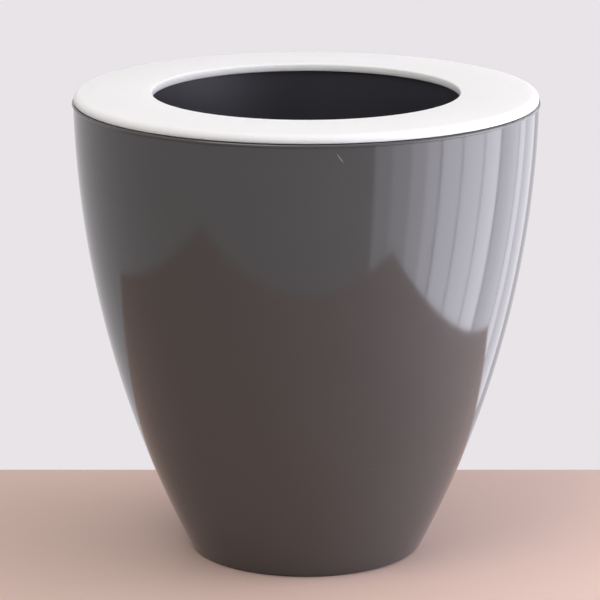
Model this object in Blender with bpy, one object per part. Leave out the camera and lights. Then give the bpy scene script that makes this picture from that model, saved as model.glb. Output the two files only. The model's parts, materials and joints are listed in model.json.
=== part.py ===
"""Self-watering planter: a glossy pot that holds water, a planting pot that hangs in it, and a cover ring.

Metres, +Z up. The origin is the middle of the base, on the surface that the planter stands on.
The filler and the water gauge stand at the front, which faces -Y.
"""

import math

import bmesh
import bpy
from mathutils import Matrix, Vector

# Clearances
SEAT_GAP = 0.0003
FIT = 0.0004
CUT_MARGIN = 0.0050

# Smoothness of the turned pieces
POT_STEPS = 60
PIPE_STEPS = 24
PIN_STEPS = 16
SIDE_STEPS = 8
CORNER_STEPS = 3
SEAL_STEPS = 8
SHARP_ANGLE = math.radians(35)
WELD = 0.000001

# Outer pot
RIM_RADIUS = 0.1500
POT_HEIGHT = 0.2985
BASE_RADIUS = 0.0756
SIDE_BULGE = 0.0176
POT_WALL = 0.0032
POT_FLOOR = 0.0035
FOOT_WIDTH = 0.0120
BASE_CORNER = 0.0035
FLOOR_CORNER = 0.0080
RIM_EDGE = 0.0007
RIM_SEAT_WIDTH = 0.0085
RIM_SEAT_DEPTH = 0.0045

# Drain plug
DRAIN_RADIUS = 0.0110
PLUG_FLOOR_GAP = 0.0010
PLUG_GRIP = 0.0026
PLUG_GRIP_WIDTH = 0.0036
PLUG_HEAD = 0.0018
PLUG_RIM = 0.0035
PLUG_TIP = 0.0012
PLUG_CHAMFER = 0.0008
SEAL_SECTION = 0.0020

# Cover ring
RING_INSET = 0.0004
RING_PLATE = 0.0028
RING_EDGE_WALL = 0.0030
RING_ROUND = 0.0040
RING_HOLE_RADIUS = 0.0994
RING_LIP_WALL = 0.0022
RING_LIP_DEPTH = 0.0051
RING_LIP_ROUND = 0.0010

# Inner pot
INNER_WALL = 0.0024
INNER_CORNER = 0.0060
WATER_DEPTH = 0.0580
WATER_GAP = 0.0206
FLANGE = 0.0024
LOCATING_RIB = 0.0040
LOCATING_RIB_WALL = 0.0020
SEEP_HOLE_RADIUS = 0.0030
SEEP_HOLES = 6
SEEP_CIRCLE = 0.0150
GUSSETS = 8
GUSSET_THICKNESS = 0.0024
GUSSET_REACH = 0.0300
GUSSET_DROP = 0.0240
GUSSET_TOE = 0.0005
SOCKET_HEIGHT = 0.0120
SOCKET_WALL = 0.0022

# Standpipes of the filler and the gauge
PORT_CLEARANCE = 0.0060
PORT_SPREAD = math.radians(28)
BEAD_WIDTH = 0.0022
BEAD_THICKNESS = 0.0020

# Filler
FILLER_BORE = 0.0105
FILLER_WALL = 0.0018
FILLER_FOOT_GAP = 0.0220
FILLER_SUNK = 0.0243
FUNNEL_WALL = 0.0018
FUNNEL_MOUTH = 0.0190
FUNNEL_DEPTH = 0.0160
FUNNEL_LIP = 0.0025
FUNNEL_SLEEVE = 0.0100
LID_THICKNESS = 0.0022
LID_EDGE = 0.0007
LID_RIB_GAP = 0.0020
LID_RIB_WALL = 0.0015
LID_RIB_DEPTH = 0.0015
LID_TAB_REACH = 0.0050
LID_TAB_WIDTH = 0.0120
KNUCKLE_RADIUS = 0.0028
KNUCKLE_LENGTH = 0.0120
HINGE_CLEARANCE = 0.0008
HINGE_EAR = 0.0024
HINGE_EAR_SINK = 0.0012
LID_PIN_RADIUS = 0.0011
PIN_GAP = 0.0003

# Water gauge
GAUGE_BORE = 0.0092
GAUGE_WALL = 0.0016
GAUGE_FLOOR_GAP = 0.0025
GAUGE_SUNK = 0.0133
STRAINER_WALL = 0.0014
STRAINER_FLOOR = 0.0016
STRAINER_SLEEVE = 0.0080
STRAINER_INLET = 0.0040
STRAINER_SLOTS = 4
STRAINER_SLOT_WIDTH = 0.0024
CAP_WALL = 0.0015
CAP_ROUND = 0.0040
CAP_WINDOW = 0.0290
CAP_SLEEVE = 0.0080
FLOAT_PLAY = 0.0006
FLOAT_HEIGHT = 0.0260
FLOAT_EDGE = 0.0020
FLOAT_TRAVEL = 0.0300
ROD_RADIUS = 0.0015
ROD_SOCKET = 0.0060
MARKER_RADIUS = 0.0065
MARKER_HEIGHT = 0.0120
MARKER_EDGE = 0.0015
MARKER_GAP = 0.0010

# Wick cups
WICK_CIRCLE = 0.0480
WICK_ANGLES = {"rear": math.radians(90), "left": math.radians(195), "right": math.radians(345)}
WICK_RADIUS = 0.0186
WICK_TIP_RADIUS = 0.0140
WICK_WALL = 0.0016
WICK_FLANGE = 0.0018
WICK_FLANGE_WIDTH = 0.0039
WICK_FLOOR_GAP = 0.0050
WICK_FOOT_HOLE = 0.0040
WICK_SLOTS = 6
WICK_SLOT_WIDTH = 0.0030
WICK_SLOT_MARGIN = 0.0040

# Lift handles
HANDLE_SUNK = 0.0213
HANDLE_HALF_WIDTH = 0.0280
HANDLE_EYE = 0.0036
HANDLE_THICKNESS = 0.0034
HANDLE_DROP = 0.0460
HANDLE_CORNER = 0.0120
HANDLE_CLEARANCE = 0.0014
BOSS_INSET = 0.0003
GRIP_RADIUS = 0.0042
GRIP_MARGIN = 0.0080
EAR_HALF_HEIGHT = 0.0045
EAR_THICKNESS = 0.0030
HANDLE_PIN_RADIUS = 0.0016
HANDLE_PIN_END = 0.0006

# Heights that follow from the sizes above
FOOT_RECESS = PLUG_FLOOR_GAP + PLUG_GRIP + PLUG_HEAD + SEAL_SECTION + 2 * SEAT_GAP
POT_FLOOR_TOP = FOOT_RECESS + POT_FLOOR
INNER_FLOOR_BOTTOM = POT_FLOOR_TOP + WATER_DEPTH
INNER_FLOOR_TOP = INNER_FLOOR_BOTTOM + INNER_WALL
SOCKET_TOP = INNER_FLOOR_TOP + SOCKET_HEIGHT
FLANGE_BOTTOM = POT_HEIGHT + SEAT_GAP
FLANGE_TOP = FLANGE_BOTTOM + FLANGE
RING_PLATE_BOTTOM = FLANGE_TOP + SEAT_GAP
RING_TOP = RING_PLATE_BOTTOM + RING_PLATE
FUNNEL_TOP = RING_TOP - FILLER_SUNK
FILLER_TOP = FUNNEL_TOP - FUNNEL_DEPTH
LID_BOTTOM = FUNNEL_TOP + SEAT_GAP
GAUGE_FOOT = POT_FLOOR_TOP + GAUGE_FLOOR_GAP
STRAINER_FLOOR_TOP = GAUGE_FOOT + STRAINER_FLOOR
CAP_TOP = RING_TOP - GAUGE_SUNK
GAUGE_TOP = CAP_TOP - CAP_WINDOW
FLOAT_BOTTOM = STRAINER_FLOOR_TOP + SEAT_GAP
FLOAT_TOP = FLOAT_BOTTOM + FLOAT_HEIGHT
MARKER_TOP = CAP_TOP - CAP_WALL - MARKER_GAP - FLOAT_TRAVEL
MARKER_BOTTOM = MARKER_TOP - MARKER_HEIGHT
HANDLE_PIVOT_Z = RING_TOP - HANDLE_SUNK

# Radii and places that follow from the sizes above
CHORD = math.hypot(RIM_RADIUS - BASE_RADIUS, POT_HEIGHT)
SIDE_RADIUS = CHORD**2 / (8 * SIDE_BULGE) + SIDE_BULGE / 2
SIDE_CENTRE_R = (RIM_RADIUS + BASE_RADIUS) / 2 - POT_HEIGHT / CHORD * (SIDE_RADIUS - SIDE_BULGE)
SIDE_CENTRE_Z = POT_HEIGHT / 2 + (RIM_RADIUS - BASE_RADIUS) / CHORD * (SIDE_RADIUS - SIDE_BULGE)
RIM_SEAT_RADIUS = RIM_RADIUS - RIM_SEAT_WIDTH
RING_RADIUS = RIM_RADIUS - RING_INSET
FLANGE_RADIUS = RING_RADIUS - RING_EDGE_WALL - FIT
MOUTH_RADIUS = RING_HOLE_RADIUS + RING_LIP_WALL + FIT
FILLER_RADIUS = FILLER_BORE + FILLER_WALL
GAUGE_RADIUS = GAUGE_BORE + GAUGE_WALL
STRAINER_RADIUS = GAUGE_RADIUS + FIT + STRAINER_WALL
PLUG_STEM_RADIUS = DRAIN_RADIUS - FIT
PLUG_HEAD_RADIUS = PLUG_STEM_RADIUS + SEAL_SECTION + PLUG_RIM
LID_RADIUS = FUNNEL_MOUTH + FUNNEL_WALL
HINGE_X = LID_RADIUS + KNUCKLE_RADIUS + HINGE_CLEARANCE
HINGE_Z = LID_BOTTOM + LID_THICKNESS / 2
HANDLE_OUTER_Y = HANDLE_HALF_WIDTH + HANDLE_EYE
EAR_INNER_Y = HANDLE_OUTER_Y + FIT
EAR_OUTER_Y = EAR_INNER_Y + EAR_THICKNESS


def side_radius_at(height, inset):
    """Radius at a height on the pot's bowed side, moved inwards by inset."""
    reach = SIDE_RADIUS - inset
    return SIDE_CENTRE_R + math.sqrt(reach**2 - (height - SIDE_CENTRE_Z) ** 2)


INNER_BASE_RADIUS = side_radius_at(INNER_FLOOR_BOTTOM, POT_WALL) - WATER_GAP - INNER_WALL
INNER_TILT = math.atan2(MOUTH_RADIUS - INNER_BASE_RADIUS, FLANGE_TOP - INNER_FLOOR_TOP)


def inner_radius_at(height, outset=0.0):
    """Radius at a height of the inner pot's inside wall, moved outwards by outset."""
    rise = height - INNER_FLOOR_TOP
    return INNER_BASE_RADIUS + rise * math.tan(INNER_TILT) + outset / math.cos(INNER_TILT)


PORT_CIRCLE = side_radius_at(GAUGE_FOOT, POT_WALL) - PORT_CLEARANCE - STRAINER_RADIUS
FILLER_TURN = -math.pi / 2 - PORT_SPREAD
GAUGE_TURN = -math.pi / 2 + PORT_SPREAD
HANDLE_LOW = HANDLE_PIVOT_Z - HANDLE_DROP - GRIP_RADIUS
HANDLE_WALL_X = math.sqrt(inner_radius_at(HANDLE_LOW) ** 2 - HANDLE_OUTER_Y**2)
HANDLE_PIVOT_X = HANDLE_WALL_X - HANDLE_CLEARANCE - HANDLE_THICKNESS / 2


def polar(radius, turn):
    """Point on a circle round the planter's axis."""
    return Vector((radius * math.cos(turn), radius * math.sin(turn), 0.0))


FILLER_PLACE = polar(PORT_CIRCLE, FILLER_TURN)
FILLER_INWARD = FILLER_TURN + math.pi
HINGE_PLACE = FILLER_PLACE + polar(HINGE_X, FILLER_INWARD) + Vector((0.0, 0.0, HINGE_Z))
GAUGE_PLACE = polar(PORT_CIRCLE, GAUGE_TURN)


def arc(centre, radius, start, end, steps):
    """Points of a circular arc from one angle to another, both ends included."""
    turns = [start + (end - start) * step / steps for step in range(steps + 1)]
    return [(centre[0] + radius * math.cos(turn), centre[1] + radius * math.sin(turn)) for turn in turns]


def joined(*runs):
    """One outline from several runs of points, without the points that repeat where runs meet."""
    outline = []
    for run in runs:
        for point in run:
            if not outline or math.dist(outline[-1], point) > WELD:
                outline.append(point)
    return outline


def side_fillet(inset, level, radius, rise):
    """Centre and end angle of the round between the side and a level; rise is 1 above it, -1 below."""
    height = level + rise * radius
    centre = (side_radius_at(height, inset + radius), height)
    return centre, math.atan2(height - SIDE_CENTRE_Z, centre[0] - SIDE_CENTRE_R)


def add_turned(bm, profile, steps, place=(0.0, 0.0)):
    """Turn a profile of (radius, height) points round a vertical axis; one clear of the axis is closed."""
    points = [bm.verts.new((place[0] + radius, place[1], height)) for radius, height in profile]
    edges = [bm.edges.new(pair) for pair in zip(points, points[1:])]
    if profile[0][0] > 0:
        edges.append(bm.edges.new((points[-1], points[0])))
    centre = (place[0], place[1], 0.0)
    bmesh.ops.spin(
        bm, geom=points + edges, cent=centre, axis=(0, 0, 1), angle=2 * math.pi, steps=steps, use_merge=True
    )
    bmesh.ops.remove_doubles(bm, verts=bm.verts, dist=WELD)


def add_column(bm, radius, bottom, top, steps, place):
    """Upright round column."""
    add_turned(bm, [(0.0, bottom), (radius, bottom), (radius, top), (0.0, top)], steps, place)


def add_prism(bm, outline, sweep):
    """Extrude a flat outline of 3-D points along a vector."""
    face = bm.faces.new([bm.verts.new(point) for point in outline])
    swept = bmesh.ops.extrude_face_region(bm, geom=[face])["geom"]
    moved = [item for item in swept if isinstance(item, bmesh.types.BMVert)]
    bmesh.ops.translate(bm, verts=moved, vec=sweep)


def add_rod(bm, start, end, radius, steps):
    """Straight round rod between two points."""
    start, end = Vector(start), Vector(end)
    along = end - start
    turn = along.to_track_quat("Z", "Y").to_matrix().to_4x4()
    bmesh.ops.create_cone(
        bm,
        cap_ends=True,
        segments=steps,
        radius1=radius,
        radius2=radius,
        depth=along.length,
        matrix=Matrix.Translation((start + end) / 2) @ turn,
    )


def add_star(bm, spokes, width, reach, bottom, top):
    """Upright star-shaped cutter that opens slots all round a cup."""
    outline = []
    notch = width / 2 / math.sin(math.pi / spokes)
    for spoke in range(spokes):
        turn = 2 * math.pi * spoke / spokes
        out = Vector((math.cos(turn), math.sin(turn), 0.0))
        side = Vector((-out.y, out.x, 0.0)) * width / 2
        foot = Vector((0.0, 0.0, bottom))
        outline += [foot + out * reach - side, foot + out * reach + side]
        outline.append(foot + polar(notch, turn + math.pi / spokes))
    add_prism(bm, outline, (0.0, 0.0, top - bottom))


def finish(name, colour, roughness, metallic=0.0, transmission=0.0):
    """Principled BSDF material; the colour is linear RGB."""
    material = bpy.data.materials.new(name)
    material.use_nodes = True
    shader = material.node_tree.nodes["Principled BSDF"]
    shader.inputs["Base Color"].default_value = (*colour, 1.0)
    shader.inputs["Roughness"].default_value = roughness
    shader.inputs["Metallic"].default_value = metallic
    shader.inputs["Transmission Weight"].default_value = transmission
    return material


def new_object(name, bm, material=None, place=(0.0, 0.0, 0.0), turn=0.0, parent=None):
    """Object from a bmesh, with its faces pointing out, shaded smooth between sharp edges."""
    bmesh.ops.recalc_face_normals(bm, faces=bm.faces)
    mesh = bpy.data.meshes.new(name)
    bm.to_mesh(mesh)
    bm.free()
    mesh.shade_smooth()
    mesh.set_sharp_from_angle(angle=SHARP_ANGLE)
    if material:
        mesh.materials.append(material)
    obj = bpy.data.objects.new(name, mesh)
    obj.location = place
    obj.rotation_euler.z = turn
    obj.parent = parent
    bpy.context.collection.objects.link(obj)
    return obj


def combine(target, operation, bm, name):
    """Boolean on an object, by a hidden shape in that object's own space."""
    tool = new_object(name, bm, parent=target)
    tool.hide_render = True
    tool.display_type = "WIRE"
    modifier = target.modifiers.new(name, "BOOLEAN")
    modifier.operation = operation
    modifier.solver = "EXACT"
    modifier.object = tool


def turned_object(name, profile, steps, material, place=(0.0, 0.0, 0.0), turn=0.0, parent=None):
    """Object made by turning one profile."""
    bm = bmesh.new()
    add_turned(bm, profile, steps)
    return new_object(name, bm, material, place, turn, parent)


def make_outer_pot(material):
    side_centre = (SIDE_CENTRE_R, SIDE_CENTRE_Z)
    base_centre, base_angle = side_fillet(0.0, 0.0, BASE_CORNER, 1)
    rim_centre, rim_angle = side_fillet(0.0, POT_HEIGHT, RIM_EDGE, -1)
    floor_centre, floor_angle = side_fillet(POT_WALL, POT_FLOOR_TOP, FLOOR_CORNER, 1)
    seat_bottom = POT_HEIGHT - RIM_SEAT_DEPTH
    seat_blend = seat_bottom - (RIM_SEAT_WIDTH - POT_WALL)
    blend_angle = math.asin((seat_blend - SIDE_CENTRE_Z) / (SIDE_RADIUS - POT_WALL))
    foot_inside = base_centre[0] - FOOT_WIDTH
    profile = joined(
        [(foot_inside, 0.0)],
        arc(base_centre, BASE_CORNER, -math.pi / 2, base_angle, CORNER_STEPS),
        arc(side_centre, SIDE_RADIUS, base_angle, rim_angle, SIDE_STEPS),
        arc(rim_centre, RIM_EDGE, rim_angle, math.pi / 2, CORNER_STEPS),
        [(RIM_SEAT_RADIUS, POT_HEIGHT), (RIM_SEAT_RADIUS, seat_bottom)],
        arc(side_centre, SIDE_RADIUS - POT_WALL, blend_angle, floor_angle, SIDE_STEPS),
        arc(floor_centre, FLOOR_CORNER, floor_angle, -math.pi / 2, CORNER_STEPS),
        [(DRAIN_RADIUS, POT_FLOOR_TOP), (DRAIN_RADIUS, FOOT_RECESS), (foot_inside, FOOT_RECESS)],
    )
    turned_object("outer_pot", profile, POT_STEPS, material)


def make_cover_ring(material, parent):
    edge_inside = RING_RADIUS - RING_EDGE_WALL
    lip_outside = RING_HOLE_RADIUS + RING_LIP_WALL
    lip_bottom = RING_TOP - RING_LIP_DEPTH
    edge_centre = (RING_RADIUS - RING_ROUND, RING_TOP - RING_ROUND)
    lip_centre = (RING_HOLE_RADIUS + RING_LIP_ROUND, RING_TOP - RING_LIP_ROUND)
    profile = joined(
        [(edge_inside, FLANGE_BOTTOM), (RING_RADIUS, FLANGE_BOTTOM)],
        arc(edge_centre, RING_ROUND, 0.0, math.pi / 2, CORNER_STEPS),
        arc(lip_centre, RING_LIP_ROUND, math.pi / 2, math.pi, CORNER_STEPS),
        [(RING_HOLE_RADIUS, lip_bottom), (lip_outside, lip_bottom)],
        [(lip_outside, RING_PLATE_BOTTOM), (edge_inside, RING_PLATE_BOTTOM)],
    )
    turned_object("cover_ring", profile, POT_STEPS, material, parent=parent)


def inner_pot_profile():
    corner_height = INNER_FLOOR_TOP + INNER_CORNER
    corner_centre = (inner_radius_at(corner_height, -INNER_CORNER), corner_height)
    rib_outside = RIM_SEAT_RADIUS - FIT
    rib_inside = rib_outside - LOCATING_RIB_WALL
    rib_bottom = FLANGE_BOTTOM - LOCATING_RIB
    return joined(
        [(SEEP_HOLE_RADIUS, INNER_FLOOR_BOTTOM)],
        arc(corner_centre, INNER_CORNER + INNER_WALL, -math.pi / 2, -INNER_TILT, CORNER_STEPS),
        [(inner_radius_at(FLANGE_BOTTOM, INNER_WALL), FLANGE_BOTTOM), (rib_inside, FLANGE_BOTTOM)],
        [(rib_inside, rib_bottom), (rib_outside, rib_bottom), (rib_outside, FLANGE_BOTTOM)],
        [(FLANGE_RADIUS, FLANGE_BOTTOM), (FLANGE_RADIUS, FLANGE_TOP), (MOUTH_RADIUS, FLANGE_TOP)],
        arc(corner_centre, INNER_CORNER, -INNER_TILT, -math.pi / 2, CORNER_STEPS),
        [(SEEP_HOLE_RADIUS, INNER_FLOOR_TOP)],
    )


def add_handle_ear(bm, side, end):
    """Block on the inner pot's wall that holds one pin of a lift handle."""
    bottom = HANDLE_PIVOT_Z - EAR_HALF_HEIGHT
    wall = inner_radius_at(HANDLE_PIVOT_Z, INNER_WALL / 2)
    nose = HANDLE_PIVOT_X - EAR_HALF_HEIGHT
    outline = [
        (side * nose, end * EAR_INNER_Y, bottom),
        (side * math.sqrt(wall**2 - EAR_INNER_Y**2), end * EAR_INNER_Y, bottom),
        (side * math.sqrt(wall**2 - EAR_OUTER_Y**2), end * EAR_OUTER_Y, bottom),
        (side * nose, end * EAR_OUTER_Y, bottom),
    ]
    add_prism(bm, outline, (0.0, 0.0, 2 * EAR_HALF_HEIGHT))


def add_gusset(bm, turn):
    """Triangular rib between the inner pot's wall and its flange."""
    top = FLANGE_BOTTOM + FLANGE / 2
    bottom = FLANGE_BOTTOM - GUSSET_DROP
    top_wall = inner_radius_at(top, INNER_WALL / 2)
    bottom_wall = inner_radius_at(bottom, INNER_WALL / 2)
    across = polar(GUSSET_THICKNESS, turn + math.pi / 2)
    out = polar(1.0, turn)
    outline = [
        out * bottom_wall + Vector((0.0, 0.0, bottom)),
        out * (top_wall + GUSSET_REACH) + Vector((0.0, 0.0, FLANGE_BOTTOM - GUSSET_TOE)),
        out * (top_wall + GUSSET_REACH) + Vector((0.0, 0.0, top)),
        out * top_wall + Vector((0.0, 0.0, top)),
    ]
    add_prism(bm, [point - across / 2 for point in outline], across)


def make_inner_pot(material, parent):
    pot = turned_object("inner_pot", inner_pot_profile(), POT_STEPS, material, parent=parent)
    solid = bmesh.new()
    holes = bmesh.new()
    floor_middle = (INNER_FLOOR_BOTTOM + INNER_FLOOR_TOP) / 2
    below = INNER_FLOOR_BOTTOM - CUT_MARGIN
    for place, pipe_radius in ((FILLER_PLACE, FILLER_RADIUS), (GAUGE_PLACE, GAUGE_RADIUS)):
        hole = pipe_radius + FIT
        add_column(solid, hole + SOCKET_WALL, floor_middle, SOCKET_TOP, PIPE_STEPS, place)
        add_column(holes, hole, below, SOCKET_TOP + CUT_MARGIN, PIPE_STEPS, place)
    above = INNER_FLOOR_TOP + CUT_MARGIN
    for turn in WICK_ANGLES.values():
        add_column(holes, WICK_RADIUS + FIT, below, above, PIPE_STEPS, polar(WICK_CIRCLE, turn))
    for index in range(SEEP_HOLES):
        place = polar(SEEP_CIRCLE, 2 * math.pi * (index + 0.5) / SEEP_HOLES)
        add_column(holes, SEEP_HOLE_RADIUS, below, above, PIN_STEPS, place)
    for index in range(GUSSETS):
        add_gusset(solid, 2 * math.pi * (index + 0.5) / GUSSETS)
    for side in (-1, 1):
        for end in (-1, 1):
            add_handle_ear(solid, side, end)
            start = (side * HANDLE_PIVOT_X, end * (EAR_INNER_Y - FIT), HANDLE_PIVOT_Z)
            stop = (side * HANDLE_PIVOT_X, end * (EAR_OUTER_Y + CUT_MARGIN), HANDLE_PIVOT_Z)
            add_rod(holes, start, stop, HANDLE_PIN_RADIUS + PIN_GAP, PIN_STEPS)
    combine(pot, "UNION", solid, "inner_pot_additions")
    combine(pot, "DIFFERENCE", holes, "inner_pot_holes")


def standpipe_profile(bore, radius, foot, top):
    """Pipe with a bead that rests on its socket's collar."""
    bead_bottom = SOCKET_TOP + SEAT_GAP
    bead_top = bead_bottom + BEAD_THICKNESS
    bead = radius + BEAD_WIDTH
    return [
        (bore, foot),
        (radius, foot),
        (radius, bead_bottom),
        (bead, bead_bottom),
        (bead, bead_top),
        (radius, bead_top),
        (radius, top),
        (bore, top),
    ]


def make_filler_tube(material, parent):
    profile = standpipe_profile(FILLER_BORE, FILLER_RADIUS, POT_FLOOR_TOP + FILLER_FOOT_GAP, FILLER_TOP)
    turned_object("filler_tube", profile, PIPE_STEPS, material, FILLER_PLACE, parent=parent)


def make_filler_funnel(material, parent):
    """Funnel on the filler tube; its hinge ears point to the planter's axis."""
    sleeve_inside = FILLER_RADIUS + FIT
    sleeve_outside = sleeve_inside + FUNNEL_WALL
    sleeve_bottom = FILLER_TOP - FUNNEL_SLEEVE
    flare_top = FUNNEL_TOP - FUNNEL_LIP
    shoulder = FILLER_TOP + SEAT_GAP
    outside = [
        (0.0, sleeve_bottom),
        (sleeve_outside, sleeve_bottom),
        (sleeve_outside, FILLER_TOP),
        (LID_RADIUS, flare_top),
        (LID_RADIUS, FUNNEL_TOP),
        (0.0, FUNNEL_TOP),
    ]
    bore = [
        (0.0, sleeve_bottom - CUT_MARGIN),
        (sleeve_inside, sleeve_bottom - CUT_MARGIN),
        (sleeve_inside, shoulder),
        (FILLER_BORE, shoulder),
        (FILLER_BORE, shoulder + FUNNEL_WALL),
        (FUNNEL_MOUTH, flare_top),
        (FUNNEL_MOUTH, FUNNEL_TOP + CUT_MARGIN),
        (0.0, FUNNEL_TOP + CUT_MARGIN),
    ]
    name = "filler_funnel"
    funnel = turned_object(name, outside, PIPE_STEPS, material, FILLER_PLACE, FILLER_INWARD, parent)
    neck_top = FUNNEL_TOP - HINGE_EAR_SINK
    ear_outline = joined(
        [(0.0, FILLER_TOP), (0.0, neck_top), (HINGE_X - KNUCKLE_RADIUS, neck_top)],
        arc((HINGE_X, HINGE_Z), KNUCKLE_RADIUS, math.pi, 0.0, 2 * CORNER_STEPS),
        [(HINGE_X + KNUCKLE_RADIUS, neck_top - KNUCKLE_RADIUS)],
    )
    ears = bmesh.new()
    cuts = bmesh.new()
    ear_inside = KNUCKLE_LENGTH / 2 + FIT
    for end in (-1, 1):
        outline = [(x, end * ear_inside, z) for x, z in ear_outline]
        add_prism(ears, outline, (0.0, end * HINGE_EAR, 0.0))
    add_turned(cuts, bore, PIPE_STEPS)
    reach = ear_inside + HINGE_EAR + CUT_MARGIN
    eye = LID_PIN_RADIUS + PIN_GAP
    add_rod(cuts, (HINGE_X, -reach, HINGE_Z), (HINGE_X, reach, HINGE_Z), eye, PIN_STEPS)
    combine(funnel, "UNION", ears, name + "_ears")
    combine(funnel, "DIFFERENCE", cuts, name + "_bore")


def make_filler_lid(material, parent):
    """Flap whose origin is on its hinge pin; it opens towards the planter's axis."""
    bottom = LID_BOTTOM - HINGE_Z
    top = bottom + LID_THICKNESS
    rib_outside = FUNNEL_MOUTH - LID_RIB_GAP
    rib_inside = rib_outside - LID_RIB_WALL
    rib_bottom = bottom - LID_RIB_DEPTH
    profile = [
        (0.0, bottom),
        (rib_inside, bottom),
        (rib_inside, rib_bottom),
        (rib_outside, rib_bottom),
        (rib_outside, bottom),
        (LID_RADIUS, bottom),
        (LID_RADIUS, top - LID_EDGE),
        (LID_RADIUS - LID_EDGE, top),
        (0.0, top),
    ]
    bm = bmesh.new()
    add_turned(bm, profile, PIPE_STEPS, (-HINGE_X, 0.0))
    lid = new_object("filler_lid", bm, material, HINGE_PLACE, FILLER_INWARD, parent)
    web_angle = math.asin(LID_THICKNESS / 2 / KNUCKLE_RADIUS)
    web_end = LID_RADIUS - HINGE_X - KNUCKLE_RADIUS
    knuckle = joined(
        [(web_end, top), (web_end, bottom)],
        arc((0.0, 0.0), KNUCKLE_RADIUS, web_angle - math.pi, math.pi - web_angle, 4 * CORNER_STEPS),
    )
    tab_end = -HINGE_X - LID_RADIUS - LID_TAB_REACH
    tab_root = tab_end + 2 * LID_TAB_REACH
    tab = [(tab_end, bottom), (tab_end, top), (tab_root, top), (tab_root, bottom)]
    additions = bmesh.new()
    for outline, width in ((knuckle, KNUCKLE_LENGTH), (tab, LID_TAB_WIDTH)):
        add_prism(additions, [(x, -width / 2, z) for x, z in outline], (0.0, width, 0.0))
    bore = bmesh.new()
    reach = KNUCKLE_LENGTH / 2 + CUT_MARGIN
    add_rod(bore, (0.0, -reach, 0.0), (0.0, reach, 0.0), LID_PIN_RADIUS + PIN_GAP, PIN_STEPS)
    combine(lid, "UNION", additions, "filler_lid_knuckle")
    combine(lid, "DIFFERENCE", bore, "filler_lid_bore")


def make_filler_lid_pin(material, parent):
    half = KNUCKLE_LENGTH / 2 + FIT + HINGE_EAR
    bm = bmesh.new()
    add_rod(bm, (0.0, -half, 0.0), (0.0, half, 0.0), LID_PIN_RADIUS, PIN_STEPS)
    new_object("filler_lid_pin", bm, material, HINGE_PLACE, FILLER_INWARD, parent)


def make_gauge_tube(material, parent):
    profile = standpipe_profile(GAUGE_BORE, GAUGE_RADIUS, STRAINER_FLOOR_TOP + SEAT_GAP, GAUGE_TOP)
    turned_object("gauge_tube", profile, PIPE_STEPS, material, GAUGE_PLACE, parent=parent)


def make_gauge_strainer(material, parent):
    """Slotted cup on the foot of the gauge tube; the float rests on its floor."""
    sleeve_inside = GAUGE_RADIUS + FIT
    sleeve_top = GAUGE_FOOT + STRAINER_SLEEVE
    profile = [
        (STRAINER_INLET, GAUGE_FOOT),
        (STRAINER_RADIUS, GAUGE_FOOT),
        (STRAINER_RADIUS, sleeve_top),
        (sleeve_inside, sleeve_top),
        (sleeve_inside, STRAINER_FLOOR_TOP),
        (STRAINER_INLET, STRAINER_FLOOR_TOP),
    ]
    strainer = turned_object("gauge_strainer", profile, PIPE_STEPS, material, GAUGE_PLACE, parent=parent)
    slots = bmesh.new()
    slot_top = STRAINER_FLOOR_TOP + STRAINER_SLOT_WIDTH
    add_star(
        slots,
        STRAINER_SLOTS,
        STRAINER_SLOT_WIDTH,
        STRAINER_RADIUS + CUT_MARGIN,
        GAUGE_FOOT - CUT_MARGIN,
        slot_top,
    )
    combine(strainer, "DIFFERENCE", slots, "gauge_strainer_slots")


def make_gauge_cap(material, parent):
    """Clear dome over the gauge tube, tall enough for the marker's travel."""
    sleeve_inside = GAUGE_RADIUS + FIT
    outside = sleeve_inside + CAP_WALL
    sleeve_bottom = GAUGE_TOP - CAP_SLEEVE
    round_centre = (outside - CAP_ROUND, CAP_TOP - CAP_ROUND)
    profile = joined(
        [(0.0, CAP_TOP - CAP_WALL), (GAUGE_BORE, CAP_TOP - CAP_WALL)],
        [(GAUGE_BORE, GAUGE_TOP + SEAT_GAP), (sleeve_inside, GAUGE_TOP + SEAT_GAP)],
        [(sleeve_inside, sleeve_bottom), (outside, sleeve_bottom)],
        arc(round_centre, CAP_ROUND, 0.0, math.pi / 2, CORNER_STEPS),
        [(0.0, CAP_TOP)],
    )
    turned_object("gauge_cap", profile, PIPE_STEPS, material, GAUGE_PLACE, parent=parent)


def make_gauge_float(material, parent):
    radius = GAUGE_BORE - FLOAT_PLAY
    socket = ROD_RADIUS + PIN_GAP
    socket_bottom = FLOAT_TOP - ROD_SOCKET
    profile = [
        (0.0, FLOAT_BOTTOM),
        (radius - FLOAT_EDGE, FLOAT_BOTTOM),
        (radius, FLOAT_BOTTOM + FLOAT_EDGE),
        (radius, FLOAT_TOP - FLOAT_EDGE),
        (radius - FLOAT_EDGE, FLOAT_TOP),
        (socket, FLOAT_TOP),
        (socket, socket_bottom),
        (0.0, socket_bottom),
    ]
    turned_object("gauge_float", profile, PIPE_STEPS, material, GAUGE_PLACE, parent=parent)


def make_gauge_rod(material, parent):
    bottom = FLOAT_TOP - ROD_SOCKET + SEAT_GAP
    top = MARKER_BOTTOM + ROD_SOCKET - SEAT_GAP
    profile = [(0.0, bottom), (ROD_RADIUS, bottom), (ROD_RADIUS, top), (0.0, top)]
    turned_object("gauge_rod", profile, PIN_STEPS, material, GAUGE_PLACE, parent=parent)


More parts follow.
